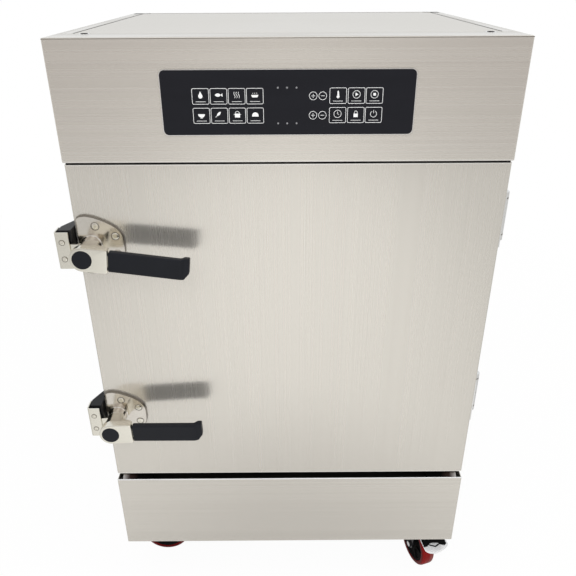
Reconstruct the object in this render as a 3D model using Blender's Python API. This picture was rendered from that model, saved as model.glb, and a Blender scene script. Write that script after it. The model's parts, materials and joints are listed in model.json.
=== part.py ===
"""Electric steam cabinet on castors, built from folded sheet and cast fittings.

Lengths are in metres. +Z is up, the door faces -Y, and the origin lies on the
floor under the middle of the cabinet. Each sub-part is one object.
"""
import math

import bmesh
import bpy
from mathutils import Vector

# Overall body
WIDTH = 0.700
DEPTH = 0.604
BODY_HEIGHT = 1.012
CASTOR_HEIGHT = 0.125
FRONT_REACH = 0.063
REAR_REACH = 0.055
GAP = 0.0003

# Front, from the top down
FASCIA_HEIGHT = 0.1805
GAP_OVER_DOOR = 0.003
DOOR_HEIGHT = 0.6401
GAP_UNDER_DOOR = 0.012
FRONT_BOX_DEPTH = 0.068

# Sheet and corners
SHEET = 0.0012
HEAVY_SHEET = 0.002
CORNER_RADIUS = 0.002
SIDE_FLANGE = 0.0245

# Door
DOOR_WIDTH = 0.699
DOOR_SETBACK = 0.0065
DOOR_THICKNESS = 0.055
DOOR_LIP = 0.012
PLUG_HEIGHT = 0.012

# Steaming chamber
CHAMBER_WIDTH = 0.610
CHAMBER_LOW_Z = 0.345
CHAMBER_HIGH_Z = 0.930
CHAMBER_BACK = 0.560
TRAY_LEVELS = 6
TRAYS_FITTED = 4
TRAY_PITCH = 0.092
FIRST_TRAY_Z = 0.416
TRAY_WIDTH = 0.596
TRAY_LENGTH = 0.400
TRAY_HEIGHT = 0.046
TRAY_FRONT = 0.112

# Water tank
TANK_HALF_WIDTH = 0.252
TANK_FRONT = 0.140
TANK_BACK = 0.510
TANK_HEIGHT = 0.125

# Heating element
HEATER_Z = 0.250
HEATER_RADIUS = 0.005
HEATER_TERMINAL_X = 0.020

# Services in the back sheet: place across and height, then the holes' radii
VENT_PLACE = (0.180, 0.880)
DRAIN_PLACE = (0.170, 0.236)
FEED_PLACE = (-0.200, 0.240)
GLAND_PLACE = (0.270, 0.215)
SERVICE_HOLES = (
    (*VENT_PLACE, 0.0168),
    (*DRAIN_PLACE, 0.0120),
    (*FEED_PLACE, 0.0110),
    (*GLAND_PLACE, 0.0090),
)
DRAIN_STEM_BEHIND = DEPTH + 0.027

# Touch panel and the board behind it
PANEL_WIDTH = 0.374
PANEL_HEIGHT = 0.0935
PANEL_TOP_MARGIN = 0.044
PANEL_RADIUS = 0.0075
BOARD_BEHIND = 0.018
STAND_OFF = 0.0165

# Latches, measured from the pivot and out from the door's face
LATCHES = {"upper": (-0.3238, 0.8190, 6.5), "lower": (-0.3262, 0.4692, -2.0)}
CAP_RADIUS = 0.0155
HUB_RADIUS = 0.0205
HUB_BACK = 0.049
HUB_FACE = 0.0655
CAP_FACE = 0.067
NECK_FACE = 0.0193
NECK_RADIUS = 0.0158
NECK_FOOT = 0.0184
NOSE_REACH = 0.046
GRIP_START = 0.0385
GRIP_END = 0.1675
GRIP_HEIGHT = 0.0345
GRIP_THICKNESS = 0.0115
GRIP_LEAN = math.radians(2.5)
SPINDLE_RADIUS = 0.006
KEEPER_HEIGHT = 0.063
KEEPER_OUTSIDE = -0.0252
KEEPER_INSIDE = -0.0025
KEEPER_FACE = 0.0293
KEEPER_SHEET = 0.002

# Hinges
HINGE_X = 0.360
HINGE_BEHIND = 0.050
HINGE_HEIGHTS = {"upper": 0.849, "lower": 0.484}
HINGE_LENGTH = 0.086
HINGE_LEAF = 0.003
KNUCKLE_RADIUS = 0.009
PIN_RADIUS = 0.004

# Castors
WHEEL_RADIUS = 0.050
WHEEL_WIDTH = 0.032
CASTOR_TRAIL = 0.028
AXLE_RADIUS = 0.005
KINGPIN_RADIUS = 0.005
FORK_INSIDE = 0.0175
FORK_SHEET = 0.003
CROWN_TOP = 0.1095
PEDAL_PIVOT = (-0.046, 0.1005)
PEDAL_HALF_WIDTH = 0.0265
PEDAL_SHIFT = 0.0045
PEDAL_NECK_HALF = 0.0155
CASTORS = {
    "front_left": (-0.3165, 0.1002, 91.0, True),
    "front_right": (0.2859, 0.0868, 18.8, True),
    "rear_left": (-0.3150, 0.5290, 160.0, False),
    "rear_right": (0.3150, 0.5290, 195.0, False),
}

# Planes that follow from the sizes above
FRONT_Y = -(DEPTH + REAR_REACH - FRONT_REACH) / 2
BASE_Z = CASTOR_HEIGHT
TOP_Z = BASE_Z + BODY_HEIGHT
FASCIA_LOW_Z = TOP_Z - FASCIA_HEIGHT
DOOR_HIGH_Z = FASCIA_LOW_Z - GAP_OVER_DOOR
DOOR_LOW_Z = DOOR_HIGH_Z - DOOR_HEIGHT
PLINTH_TOP_Z = DOOR_LOW_Z - GAP_UNDER_DOOR
BASE_FRAME_TOP_Z = BASE_Z + 0.040
PANEL_Z = TOP_Z - PANEL_TOP_MARGIN - PANEL_HEIGHT / 2

FINISHES = {
    "brushed_steel": ((0.66, 0.65, 0.62, 1.0), 0.35, 1.0),
    "satin_nickel": ((0.70, 0.66, 0.60, 1.0), 0.30, 1.0),
    "chrome": ((0.80, 0.80, 0.80, 1.0), 0.10, 1.0),
    "black_plastic": ((0.018, 0.018, 0.022, 1.0), 0.45, 0.0),
    "black_paint": ((0.012, 0.012, 0.012, 1.0), 0.40, 0.0),
    "black_glass": ((0.010, 0.010, 0.012, 1.0), 0.12, 0.0),
    "grey_rubber": ((0.30, 0.30, 0.29, 1.0), 0.75, 0.0),
    "red_tyre": ((0.28, 0.012, 0.010, 1.0), 0.45, 0.0),
    "foam": ((0.62, 0.57, 0.40, 1.0), 0.90, 0.0),
    "circuit_board": ((0.02, 0.16, 0.06, 1.0), 0.55, 0.0),
    "brass": ((0.62, 0.45, 0.18, 1.0), 0.30, 1.0),
}


def behind(distance):
    """World Y of a plane that lies a distance behind the fascia's face."""
    return FRONT_Y + distance


# Mesh builders

def finished_mesh(bm, name, fix_normals=True):
    """Turn a bmesh into a smooth-shaded mesh with sharp folds."""
    if fix_normals:
        bmesh.ops.recalc_face_normals(bm, faces=bm.faces)
    mesh = bpy.data.meshes.new(name)
    bm.to_mesh(mesh)
    bm.free()
    mesh.shade_smooth()
    mesh.set_sharp_from_angle(angle=math.radians(32))
    return mesh


def round_corners(outline, radius, steps=3):
    """Replace each corner of a closed outline by an arc of the given radius."""
    points = [Vector(point) for point in outline]
    rounded = []
    for index, corner in enumerate(points):
        before = (points[index - 1] - corner).normalized()
        after = (points[(index + 1) % len(points)] - corner).normalized()
        rounded += corner_arc(corner, before, after, radius, steps)
    return rounded


def corner_arc(corner, before, after, radius, steps):
    """Points of the arc that touches both legs of a corner."""
    half = before.angle(after) / 2
    if half > math.radians(89.5):
        return [corner.copy()]
    reach = radius / math.tan(half)
    centre = corner + (before + after).normalized() * (radius / math.sin(half))
    start = corner + before * reach - centre
    end = corner + after * reach - centre
    turn = start.angle(end)
    arc = []
    for step in range(steps + 1):
        share = step / steps
        first = math.sin((1 - share) * turn) / math.sin(turn)
        second = math.sin(share * turn) / math.sin(turn)
        arc.append(centre + start * first + end * second)
    return arc


def round_path(path, radius, steps=3):
    """Open path whose inner corners are rounded."""
    points = [Vector(point) for point in path]
    rounded = [points[0]]
    for index in range(1, len(points) - 1):
        before = (points[index - 1] - points[index]).normalized()
        after = (points[index + 1] - points[index]).normalized()
        rounded += corner_arc(points[index], before, after, radius, steps)
    rounded.append(points[-1])
    return rounded


def rectangle(low, high):
    """Corner points of an upright rectangle in a plane, counterclockwise."""
    return [(low[0], low[1]), (high[0], low[1]), (high[0], high[1]), (low[0], high[1])]


def circle(centre, radius, steps, start=0.0, sweep=2 * math.pi):
    """Points on a circle or, with a shorter sweep, on an arc with both ends."""
    full = abs(sweep) >= 2 * math.pi - 1e-6
    count = steps if full else steps + 1
    return [
        (
            centre[0] + radius * math.cos(start + sweep * step / steps),
            centre[1] + radius * math.sin(start + sweep * step / steps),
        )
        for step in range(count)
    ]


def folded_sheet(path, thickness, radius, steps=2):
    """Closed outline of a sheet that follows a path, centred on it."""
    points = round_path(path, radius, steps)
    left = []
    right = []
    for index, point in enumerate(points):
        ahead = points[min(index + 1, len(points) - 1)] - point
        back = point - points[max(index - 1, 0)]
        heading = (ahead.normalized() + back.normalized()).normalized()
        bend = ahead.normalized() if back.length == 0 else back.normalized()
        normal = Vector((-heading.y, heading.x))
        stretch = 1.0 / max(heading.dot(bend), 0.5)
        left.append(point + normal * (thickness / 2 * stretch))
        right.append(point - normal * (thickness / 2 * stretch))
    return left + right[::-1]


AXIS_ORDER = {"X": (1, 2, 0), "Y": (0, 2, 1), "Z": (0, 1, 2)}


def spatial(axis, point, level):
    """Point of a plane square to an axis, at a level along that axis."""
    first, second, along = AXIS_ORDER[axis]
    place = [0.0, 0.0, 0.0]
    place[first] = point[0]
    place[second] = point[1]
    place[along] = level
    return place


def prism(outline, axis, start, end):
    """Extrude a closed outline along an axis, from start to end."""
    bm = bmesh.new()
    rings = [
        [bm.verts.new(spatial(axis, point, level)) for point in outline]
        for level in (start, end)
    ]
    bm.faces.new(rings[0])
    bm.faces.new(rings[1])
    for index in range(len(outline)):
        after = (index + 1) % len(outline)
        bm.faces.new((rings[0][index], rings[0][after], rings[1][after], rings[1][index]))
    bmesh.ops.recalc_face_normals(bm, faces=bm.faces)
    return bm


def box(low, high):
    """Closed box between two corners."""
    return prism(rectangle(low[:2], high[:2]), "Z", low[2], high[2])


def turned(profile, axis, steps, centre=(0.0, 0.0), loop=False):
    """Revolve (radius, height) points about an axis; a loop leaves a bore."""
    bm = bmesh.new()
    rings = []
    for radius, height in profile:
        if radius == 0.0:
            rings.append([bm.verts.new(spatial(axis, centre, height))])
            continue
        ring = circle(centre, radius, steps)
        rings.append([bm.verts.new(spatial(axis, point, height)) for point in ring])
    pairs = list(zip(rings, rings[1:]))
    if loop:
        pairs.append((rings[-1], rings[0]))
    for lower, upper in pairs:
        for index in range(steps):
            after = (index + 1) % steps
            corners = [lower[index % len(lower)], lower[after % len(lower)]]
            corners += [upper[after % len(upper)], upper[index % len(upper)]]
            bm.faces.new(list(dict.fromkeys(corners)))
    bmesh.ops.recalc_face_normals(bm, faces=bm.faces)
    return bm


def loft(sections):
    """Skin a row of equal closed sections and cap both ends."""
    bm = bmesh.new()
    rings = [[bm.verts.new(point) for point in section] for section in sections]
    for lower, upper in zip(rings, rings[1:]):
        for index in range(len(lower)):
            after = (index + 1) % len(lower)
            bm.faces.new((lower[index], lower[after], upper[after], upper[index]))
    bm.faces.new(rings[0])
    bm.faces.new(rings[-1])
    bmesh.ops.recalc_face_normals(bm, faces=bm.faces)
    return bm


def level_tube(path, height, radius, sides):
    """Round bar that follows a path in a level plane."""
    sections = []
    for index, point in enumerate(path):
        ahead = path[min(index + 1, len(path) - 1)]
        back = path[max(index - 1, 0)]
        heading = (ahead - back).normalized()
        side = Vector((-heading.y, heading.x))
        section = []
        for across, rise in circle((0.0, 0.0), radius, sides):
            place = point + side * across
            section.append((place.x, place.y, height + rise))
        sections.append(section)
    return loft(sections)


SIDES = {
    "left": Vector((-1, 0, 0)),
    "right": Vector((1, 0, 0)),
    "front": Vector((0, -1, 0)),
    "back": Vector((0, 1, 0)),
    "bottom": Vector((0, 0, -1)),
    "top": Vector((0, 0, 1)),
}


def open_box(low, high, open_sides, lip=0.0, radius=CORNER_RADIUS, segments=1):
    """Outer surface of a folded box, centred on itself, without some sides."""
    bm = bmesh.new()
    bmesh.ops.create_cube(bm, size=1.0)
    size = Vector(high) - Vector(low)
    bmesh.ops.scale(bm, vec=size, verts=bm.verts)
    for side in open_sides:
        face = next(f for f in bm.faces if f.normal.dot(SIDES[side]) > 0.9)
        if lip:
            bmesh.ops.inset_individual(bm, faces=[face], thickness=lip)
        bmesh.ops.delete(bm, geom=[face], context="FACES")
    round_folds(bm, radius, segments)
    return bm


def round_folds(bm, radius, segments=1):
    """Bevel every edge where a surface folds."""
    folds = []
    for edge in bm.edges:
        if len(edge.link_faces) == 2 and edge.calc_face_angle() > math.radians(20):
            folds.append(edge)
    if radius:
        bmesh.ops.bevel(
            bm, geom=folds, offset=radius, segments=segments, profile=0.5, affect="EDGES"
        )


def dish(outer, mouth, floor, depth, radius):
    """Rim, walls and floor of a drawn dish; the rim lies at level 0."""
    bm = bmesh.new()
    rows = []
    for bounds, level in ((outer, 0.0), (mouth, 0.0), (floor, depth)):
        corners = rectangle(bounds[:2], bounds[2:])
        rows.append([bm.verts.new((x, y, level)) for x, y in corners])
    for first, second in zip(rows, rows[1:]):
        for index in range(4):
            after = (index + 1) % 4
            bm.faces.new((first[index], first[after], second[after], second[index]))
    bm.faces.new(rows[2])
    bm.normal_update()
    round_folds(bm, radius)
    return bm


# Object builders

def set_finish(piece, finish):
    """Give a piece its own material."""
    colour, roughness, metallic = FINISHES[finish]
    material = bpy.data.materials.new(f"{piece.name}_{finish}")
    material.use_nodes = True
    shader = material.node_tree.nodes["Principled BSDF"]
    shader.inputs["Base Color"].default_value = colour
    shader.inputs["Roughness"].default_value = roughness
    shader.inputs["Metallic"].default_value = metallic
    material.diffuse_color = colour
    piece.data.materials.append(material)


def add_piece(name, bm, finish, location=(0.0, 0.0, 0.0), parent=None, closed=True):
    """Add a sub-part at a world location, carried by an optional parent."""
    piece = bpy.data.objects.new(name, finished_mesh(bm, name, closed))
    bpy.context.collection.objects.link(piece)
    piece.location = Vector(location)
    if parent:
        piece.parent = parent
        piece.location = Vector(location) - world_place(parent)
    set_finish(piece, finish)
    return piece


def world_place(empty):
    """World location of an empty whose own parents are not turned."""
    place = empty.location.copy()
    if empty.parent:
        place += world_place(empty.parent)
    return place


def add_joint(name, location, parent=None, turn=(0.0, 0.0, 0.0)):
    """Add an empty on a joint's axis, turned to its place at rest."""
    joint = bpy.data.objects.new(name, None)
    bpy.context.collection.objects.link(joint)
    joint.empty_display_size = 0.03
    joint.location = Vector(location)
    if parent:
        joint.parent = parent
        joint.location = Vector(location) - world_place(parent)
    joint.rotation_euler = turn
    return joint


def thicken(piece, thickness):
    """Give a surface its sheet thickness, on the side away from its normals."""
    solid = piece.modifiers.new("Sheet", "SOLIDIFY")
    solid.thickness = thickness
    solid.offset = -1.0
    solid.use_even_offset = True
    solid.use_quality_normals = True
    return piece


def soften(piece, width, segments=1, angle=40.0):
    """Bevel the sharp edges of a solid."""
    bevel = piece.modifiers.new("Edges", "BEVEL")
    bevel.width = width
    bevel.segments = segments
    bevel.limit_method = "ANGLE"
    bevel.angle_limit = math.radians(angle)
    return piece


def shape_with(piece, bm, operation):
    """Join, cut or trim a piece with a tool shape in the piece's own frame."""
    tool = bpy.data.objects.new(f"{piece.name}_tool", finished_mesh(bm, "tool"))
    bpy.context.collection.objects.link(tool)
    tool.parent = piece
    tool.hide_render = True
    tool.display_type = "WIRE"
    boolean = piece.modifiers.new(operation.title(), "BOOLEAN")
    boolean.operation = operation
    boolean.solver = "EXACT"
    boolean.object = tool
    return piece


def cut(piece, bm):
    """Remove a shape from a piece."""
    return shape_with(piece, bm, "DIFFERENCE")


def fuse(piece, bm):
    """Join a shape to a piece."""
    return shape_with(piece, bm, "UNION")


def merged(shapes):
    """One tool mesh from several separate shapes."""
    total = bmesh.new()
    for shape in shapes:
        mesh = bpy.data.meshes.new("shape")
        shape.to_mesh(mesh)
        shape.free()
        total.from_mesh(mesh)
        bpy.data.meshes.remove(mesh)
    return total


def midpoint(low, high):
    """Centre of a box."""
    return (Vector(low) + Vector(high)) / 2


def sheet_box(name, low, high, open_sides, thickness=SHEET, parent=None, **shape):
    """Add a folded sheet box."""
    surface = open_box(low, high, open_sides, **shape)
    centre = midpoint(low, high)
    piece = add_piece(name, surface, "brushed_steel", centre, parent, closed=False)
    return thicken(piece, thickness)


# Body panels

def build_side_panels():
    """Side sheets whose flanges frame the top, the back and the door opening."""
    for name, sign, inner in (("side_panel_left", -1, "right"), ("side_panel_right", 1, "left")):
        outside = sign * WIDTH / 2
        inside = sign * (WIDTH / 2 - SIDE_FLANGE)
        low = (min(outside, inside), behind(FRONT_BOX_DEPTH + GAP), BASE_FRAME_TOP_Z + 0.0005)
        high = (max(outside, inside), behind(DEPTH), TOP_Z)
        sheet_box(name, low, high, (inner,), segments=2)


def build_top_panel():
    """Lid sheet between the side flanges."""
    half = WIDTH / 2 - SIDE_FLANGE - GAP
    low = (-half, behind(FRONT_BOX_DEPTH + GAP), TOP_Z - 0.015)
    high = (half, behind(DEPTH - GAP), TOP_Z)
    sheet_box("top_panel", low, high, ("bottom",), segments=2)


def build_back_panel():
    """Rear sheet with cooling slots and holes for the services."""
    half = WIDTH / 2 - SIDE_FLANGE - GAP
    low = (-half, behind(DEPTH - 0.012), BASE_FRAME_TOP_Z + 0.0005)
    high = (half, behind(DEPTH), TOP_Z - 0.0153)
    panel = sheet_box("back_panel", low, high, ("front",))
    centre = midpoint(low, high)
    slots = []
    for bank in (-0.165, 0.165):
        for row in range(5):
            slot_z = 1.010 + row * 0.019 - centre.z
            slot_low = (bank - 0.055, slot_z - 0.0025)
            slot_high = (bank + 0.055, slot_z + 0.0025)
            slots.append(prism(rectangle(slot_low, slot_high), "Y", -0.02, 0.02))
    for x, z, radius in SERVICE_HOLES:
        hole = circle((x, z - centre.z), radius, 16)
        slots.append(prism(hole, "Y", -0.02, 0.02))
    cut(panel, merged(slots))


def build_base_frame():
    """Bottom pan that carries the body and the castors."""
    half = WIDTH / 2 - SHEET - GAP
    low = (-half, behind(SHEET + 0.0006), BASE_Z)
    high = (half, behind(DEPTH - 0.0005), BASE_FRAME_TOP_Z)
    sheet_box("base_frame", low, high, ("top",), HEAVY_SHEET, lip=0.014, radius=0.003)


def build_plinth_panel():
    """Folded apron below the door."""
    low = (-WIDTH / 2, FRONT_Y, BASE_Z)
    high = (WIDTH / 2, behind(FRONT_BOX_DEPTH), PLINTH_TOP_Z)
    sheet_box("plinth_panel", low, high, ("back", "top", "bottom"), segments=2)


def build_drip_trough():
    """Open channel that catches condensate under the door."""
    end_gap = 0.0095
    half = WIDTH / 2 - end_gap
    low = (-half, behind(SHEET + 0.0006), PLINTH_TOP_Z - 0.030)
    high = (half, behind(FRONT_BOX_DEPTH - 0.0015), PLINTH_TOP_Z - 0.002)
    sheet_box("drip_trough", low, high, ("top",), 0.001)


def build_control_fascia():
    """Folded box that carries the touch panel over the door."""
    low = (-WIDTH / 2, FRONT_Y, FASCIA_LOW_Z)
    high = (WIDTH / 2, behind(FRONT_BOX_DEPTH), TOP_Z)
    fascia = sheet_box("control_fascia", low, high, ("back",), segments=2)
    centre = midpoint(low, high)
    half_width = PANEL_WIDTH / 2 - 0.022
    half_height = PANEL_HEIGHT / 2 - 0.014
    middle = PANEL_Z - centre.z
    opening = rectangle((-half_width, middle - half_height), (half_width, middle + half_height))
    cut(fascia, prism(opening, "Y", FRONT_Y - centre.y - 0.01, FRONT_Y - centre.y + 0.01))


def build_touch_panel():
    """Stuck-on touch overlay with its sensor carrier behind the sheet."""
    half_width = PANEL_WIDTH / 2
    half_height = PANEL_HEIGHT / 2
    outline = rectangle((-half_width, -half_height), (half_width, half_height))
    face = prism(round_corners(outline, PANEL_RADIUS, 5), "Y", -0.0015, -GAP)
    panel = add_piece("touch_panel", face, "black_glass", (0.0, FRONT_Y, PANEL_Z))
    half_width -= 0.0225
    half_height -= 0.0145
    carrier = rectangle((-half_width, -half_height), (half_width, half_height))
    fuse(panel, prism(carrier, "Y", -0.0010, 0.006))


def build_control_board():
    """Circuit board on stand-offs behind the touch panel."""
    half_width = 0.150
    half_height = 0.045
    plate = rectangle((-half_width, -half_height), (half_width, half_height))
    board = add_piece(
        "control_board", prism(plate, "Y", 0.0, 0.0016), "circuit_board",
        (0.0, behind(BOARD_BEHIND), PANEL_Z),
    )
    parts = []
    for index in range(5):
        x = -0.125 + index * 0.030
        parts.append(box((x, 0.001, -0.038), (x + 0.020, 0.017, -0.010)))
    parts.append(box((0.045, 0.001, -0.035), (0.095, 0.034, 0.008)))
    parts.append(box((-0.125, 0.001, 0.022), (0.010, 0.011, 0.034)))
    parts.append(box((0.040, 0.001, 0.020), (0.125, 0.007, 0.036)))
    for x in (-0.142, 0.142):
        for z in (-0.038, 0.038):
            parts.append(turned([(0, -STAND_OFF), (0.003, -STAND_OFF), (0.003, 0.001),
                                 (0, 0.001)], "Y", 8, (x, z)))
    fuse(board, merged(parts))


# Chamber and water side

def build_chamber_liner():
    """Drawn liner with a front flange, a well opening and a steam outlet."""
    half = CHAMBER_WIDTH / 2
    flange_half = WIDTH / 2 - SIDE_FLANGE - GAP
    middle = (CHAMBER_LOW_Z + CHAMBER_HIGH_Z) / 2
    outer = (-flange_half, DOOR_LOW_Z + 0.002 - middle, flange_half, DOOR_HIGH_Z + 0.001 - middle)
    mouth = (-half, CHAMBER_LOW_Z - middle, half, CHAMBER_HIGH_Z - middle)
    depth = CHAMBER_BACK - FRONT_BOX_DEPTH
    shell = dish(outer, mouth, mouth, -depth, 0.004)
    liner = add_piece(
        "chamber_liner", shell, "brushed_steel", (0.0, behind(FRONT_BOX_DEPTH), middle),
        closed=False,
    )
    liner.rotation_euler = (math.pi / 2, 0.0, 0.0)
    thicken(liner, SHEET)
    floor = CHAMBER_LOW_Z - middle
    front = -(TANK_FRONT + 0.002 - FRONT_BOX_DEPTH)
    back = -(TANK_BACK - 0.002 - FRONT_BOX_DEPTH)
    edge = TANK_HALF_WIDTH - 0.002
    well = box((-edge, floor - 0.01, back), (edge, floor + 0.002, front))
    outlet = turned(
        [(0, -depth - 0.01), (0.0135, -depth - 0.01), (0.0135, -depth + 0.01),
         (0, -depth + 0.01)],
        "Z", 18, (VENT_PLACE[0], VENT_PLACE[1] - middle),
    )
    cut(liner, merged([well, outlet]))


def build_insulation_jacket():
    """Foam around the liner, open at the front and round the tank."""
    low = Vector((-0.3465, behind(0.0722), 0.300))
    high = Vector((0.3465, behind(DEPTH - 0.0125), 0.968))
    centre = midpoint(low, high)
    jacket = add_piece("insulation_jacket", box(low - centre, high - centre), "foam", centre)
    slack = SHEET + 0.0012
    half = CHAMBER_WIDTH / 2 + slack
    inner_low = Vector((-half, behind(0.05), CHAMBER_LOW_Z - slack))
    inner_high = Vector((half, behind(CHAMBER_BACK) + slack, CHAMBER_HIGH_Z + slack))
    cut(jacket, box(inner_low - centre, inner_high - centre))
    well_low = Vector((-TANK_HALF_WIDTH - 0.0205, behind(TANK_FRONT - 0.0185), 0.28))
    well_high = Vector((TANK_HALF_WIDTH + 0.0205, behind(TANK_BACK + 0.0185), 0.40))
    cut(jacket, box(well_low - centre, well_high - centre))
    duct = circle((VENT_PLACE[0], VENT_PLACE[1] - centre.z), 0.0168, 18)
    cut(jacket, prism(duct, "Y", behind(0.50) - centre.y, behind(0.62) - centre.y))


def rack_outline(sign):
    """Upright sheet with one ledge for each tray level."""
    thickness = 0.0015
    reach = 0.0142
    low = FIRST_TRAY_Z - 0.040
    high = FIRST_TRAY_Z + TRAY_PITCH * (TRAY_LEVELS - 1) + 0.030
    outline = [(0.0, low), (thickness, low)]
    for level in range(TRAY_LEVELS):
        top = FIRST_TRAY_Z + level * TRAY_PITCH - 0.0011
        outline += [(thickness, top - thickness), (reach, top - thickness)]
        outline += [(reach, top), (thickness, top)]
    outline += [(thickness, high), (0.0, high)]
    return [(sign * x, z) for x, z in outline]


def build_racks():
    """Ledged runners on both chamber walls, with a stop behind the trays."""
    wall = CHAMBER_WIDTH / 2 - GAP
    tray_back = TRAY_FRONT + TRAY_LENGTH
    for name, sign in (("rack_left", -1), ("rack_right", 1)):
        rack = add_piece(
            name, prism(rack_outline(-sign), "Y", behind(0.085), behind(0.545)),
            "brushed_steel", (sign * wall, 0.0, 0.0),
        )
        low = FIRST_TRAY_Z - 0.020
        high = FIRST_TRAY_Z + TRAY_PITCH * (TRAY_LEVELS - 1) + 0.012
        inner = -sign * 0.013
        stop = rectangle(
            (min(0.0, inner), behind(tray_back + 0.0015)), (max(0.0, inner), behind(tray_back + 0.003))
        )
        fuse(rack, prism(stop, "Z", low, high))


def build_trays():
    """Rice trays whose rims lie on the ledges."""
    half_width = TRAY_WIDTH / 2
    half_length = TRAY_LENGTH / 2
    rim = 0.012
    outer = (-half_width, -half_length, half_width, half_length)
    mouth = (-half_width + rim, -half_length + rim, half_width - rim, half_length - rim)
    draft = 0.003
    floor = (mouth[0] + draft, mouth[1] + draft, mouth[2] - draft, mouth[3] - draft)
    for level in range(TRAYS_FITTED):
        place = (0.0, behind(TRAY_FRONT) + half_length, FIRST_TRAY_Z + level * TRAY_PITCH)
        slide = add_joint(f"tray_{level + 1}_slide", place)
        tray = add_piece(
            f"tray_{level + 1}", dish(outer, mouth, floor, -TRAY_HEIGHT, 0.004),
            "brushed_steel", place, slide, closed=False,
        )
        thicken(tray, 0.0008)


def build_water_tank():
    """Open well under the chamber, with holes for the heater and the drain."""
    rim = 0.018
    outer = (-TANK_HALF_WIDTH - rim, TANK_FRONT - rim, TANK_HALF_WIDTH + rim, TANK_BACK + rim)
    mouth = (-TANK_HALF_WIDTH, TANK_FRONT, TANK_HALF_WIDTH, TANK_BACK)
    rim_z = CHAMBER_LOW_Z - SHEET - GAP
    tank = add_piece(
        "water_tank", dish(outer, mouth, mouth, -TANK_HEIGHT, 0.006), "brushed_steel",
        (0.0, FRONT_Y, rim_z), closed=False,
    )
    thicken(tank, 0.0015)
    holes = []
    for x, z, radius in (
        (-HEATER_TERMINAL_X, HEATER_Z, HEATER_RADIUS + 0.0008),
        (HEATER_TERMINAL_X, HEATER_Z, HEATER_RADIUS + 0.0008),
        (*DRAIN_PLACE, 0.007),
        (*FEED_PLACE, 0.004),
    ):
        outline = circle((x, z - rim_z), radius, 12)
        holes.append(prism(outline, "Y", TANK_BACK - 0.01, TANK_BACK + 0.01))
    cut(tank, merged(holes))


def build_heating_element():
    """Serpentine rod in the tank, with both ends in one head outside it."""
    front = 0.180
    rear = 0.470
    inner_turn = 0.425
    outer_run = 0.190
    inner_run = 0.068
    head = TANK_BACK + 0.0019
    half_path = [
        (-HEATER_TERMINAL_X, head + 0.002),
        (-HEATER_TERMINAL_X, rear),
        (-outer_run, rear),
        (-outer_run, front),
        (-inner_run, front),
        (-inner_run, inner_turn),
    ]
    other_half = [(-x, y) for x, y in reversed(half_path)]
    path = round_path(half_path + other_half, 0.019, 2)
    element = add_piece(
        "heating_element", level_tube(path, 0.0, HEATER_RADIUS, 6), "chrome",
        (0.0, FRONT_Y, HEATER_Z),
    )
    plate = round_corners(rectangle((-0.038, -0.016), (0.038, 0.016)), 0.006, 3)
    fuse(element, prism(plate, "Y", head, head + 0.004))
    pins = []
    for x in (-HEATER_TERMINAL_X, HEATER_TERMINAL_X):
        pins.append(turned([(0, head + 0.003), (0.004, head + 0.003), (0.004, head + 0.022),
                            (0, head + 0.022)], "Y", 10, (x, 0.0)))
    fuse(element, merged(pins))


def build_steam_baffle():
    """Slotted cover that spreads steam over the well."""
    half = 0.282
    height = 0.013
    floor = CHAMBER_LOW_Z + GAP
    low = (-half, behind(0.105), floor)
    high = (half, behind(0.542), floor + height)
    baffle = sheet_box("steam_baffle", low, high, ("bottom",))
    slots = []
    for column in range(5):
        for row in range(3):
            x = (column - 2) * 0.105
            y = (row - 1) * 0.125
            outline = rectangle((x - 0.004, y - 0.045), (x + 0.004, y + 0.045))
            slots.append(prism(outline, "Z", -0.02, 0.02))
    cut(baffle, merged(slots))


# Services at the back

def build_steam_vent():
    """Outlet pipe from the chamber with a collar on the back sheet."""
    start = CHAMBER_BACK + SHEET + GAP
    wall = DEPTH + GAP
    end = DEPTH + REAR_REACH - 0.005
    bore = 0.0135
    profile = [
        (bore, start), (0.0160, start), (0.0160, wall), (0.0260, wall), (0.0260, wall + 0.003),
        (0.0175, wall + 0.007), (0.0160, wall + 0.007), (0.0160, end), (bore, end),
    ]
    add_piece(
        "steam_vent", turned(profile, "Y", 18, (0.0, 0.0), loop=True), "brushed_steel",
        (VENT_PLACE[0], FRONT_Y, VENT_PLACE[1]),
    )


def build_drain_valve():
    """Ball valve on a pipe from the tank's rear wall."""
    start = TANK_BACK + 0.0018
    end = DEPTH + REAR_REACH
    profile = [
        (0, start), (0.0110, start), (0.0110, DEPTH + 0.010), (0.0155, DEPTH + 0.012),
        (0.0155, DEPTH + 0.018), (0.0175, DEPTH + 0.021), (0.0175, DEPTH + 0.033),
        (0.0155, DEPTH + 0.036), (0.0155, DEPTH + 0.041), (0.0115, DEPTH + 0.042),
        (0.0115, end), (0.0085, end), (0.0085, DEPTH + 0.040), (0, DEPTH + 0.040),
    ]
    valve = add_piece(
        "drain_valve", turned(profile, "Y", 14), "brass",
        (DRAIN_PLACE[0], FRONT_Y, DRAIN_PLACE[1]),
    )
    stem = turned(
        [(0, 0.010), (0.008, 0.010), (0.008, 0.0235), (0.0045, 0.0235), (0.0045, 0.0345),
         (0, 0.0345)],
        "Z", 10, (0.0, DRAIN_STEM_BEHIND),
    )
    fuse(valve, stem)


def build_drain_handle():
    """Lever of the drain valve, square to the pipe when shut."""
    place = (DRAIN_PLACE[0], behind(DRAIN_STEM_BEHIND), DRAIN_PLACE[1])
    joint = add_joint("drain_handle_axis", place)
    path = [(-0.010, 0.0255), (0.014, 0.0255), (0.026, 0.0335), (0.090, 0.0335)]
    outline = folded_sheet(path, 0.003, 0.006)
    handle = add_piece(
        "drain_handle", prism(outline, "Y", -0.008, 0.008), "red_tyre", place, joint,
    )
    soften(handle, 0.0008)
    cut(handle, prism(circle((0.0, 0.0), 0.0049, 14), "Z", 0.0, 0.05))


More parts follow.
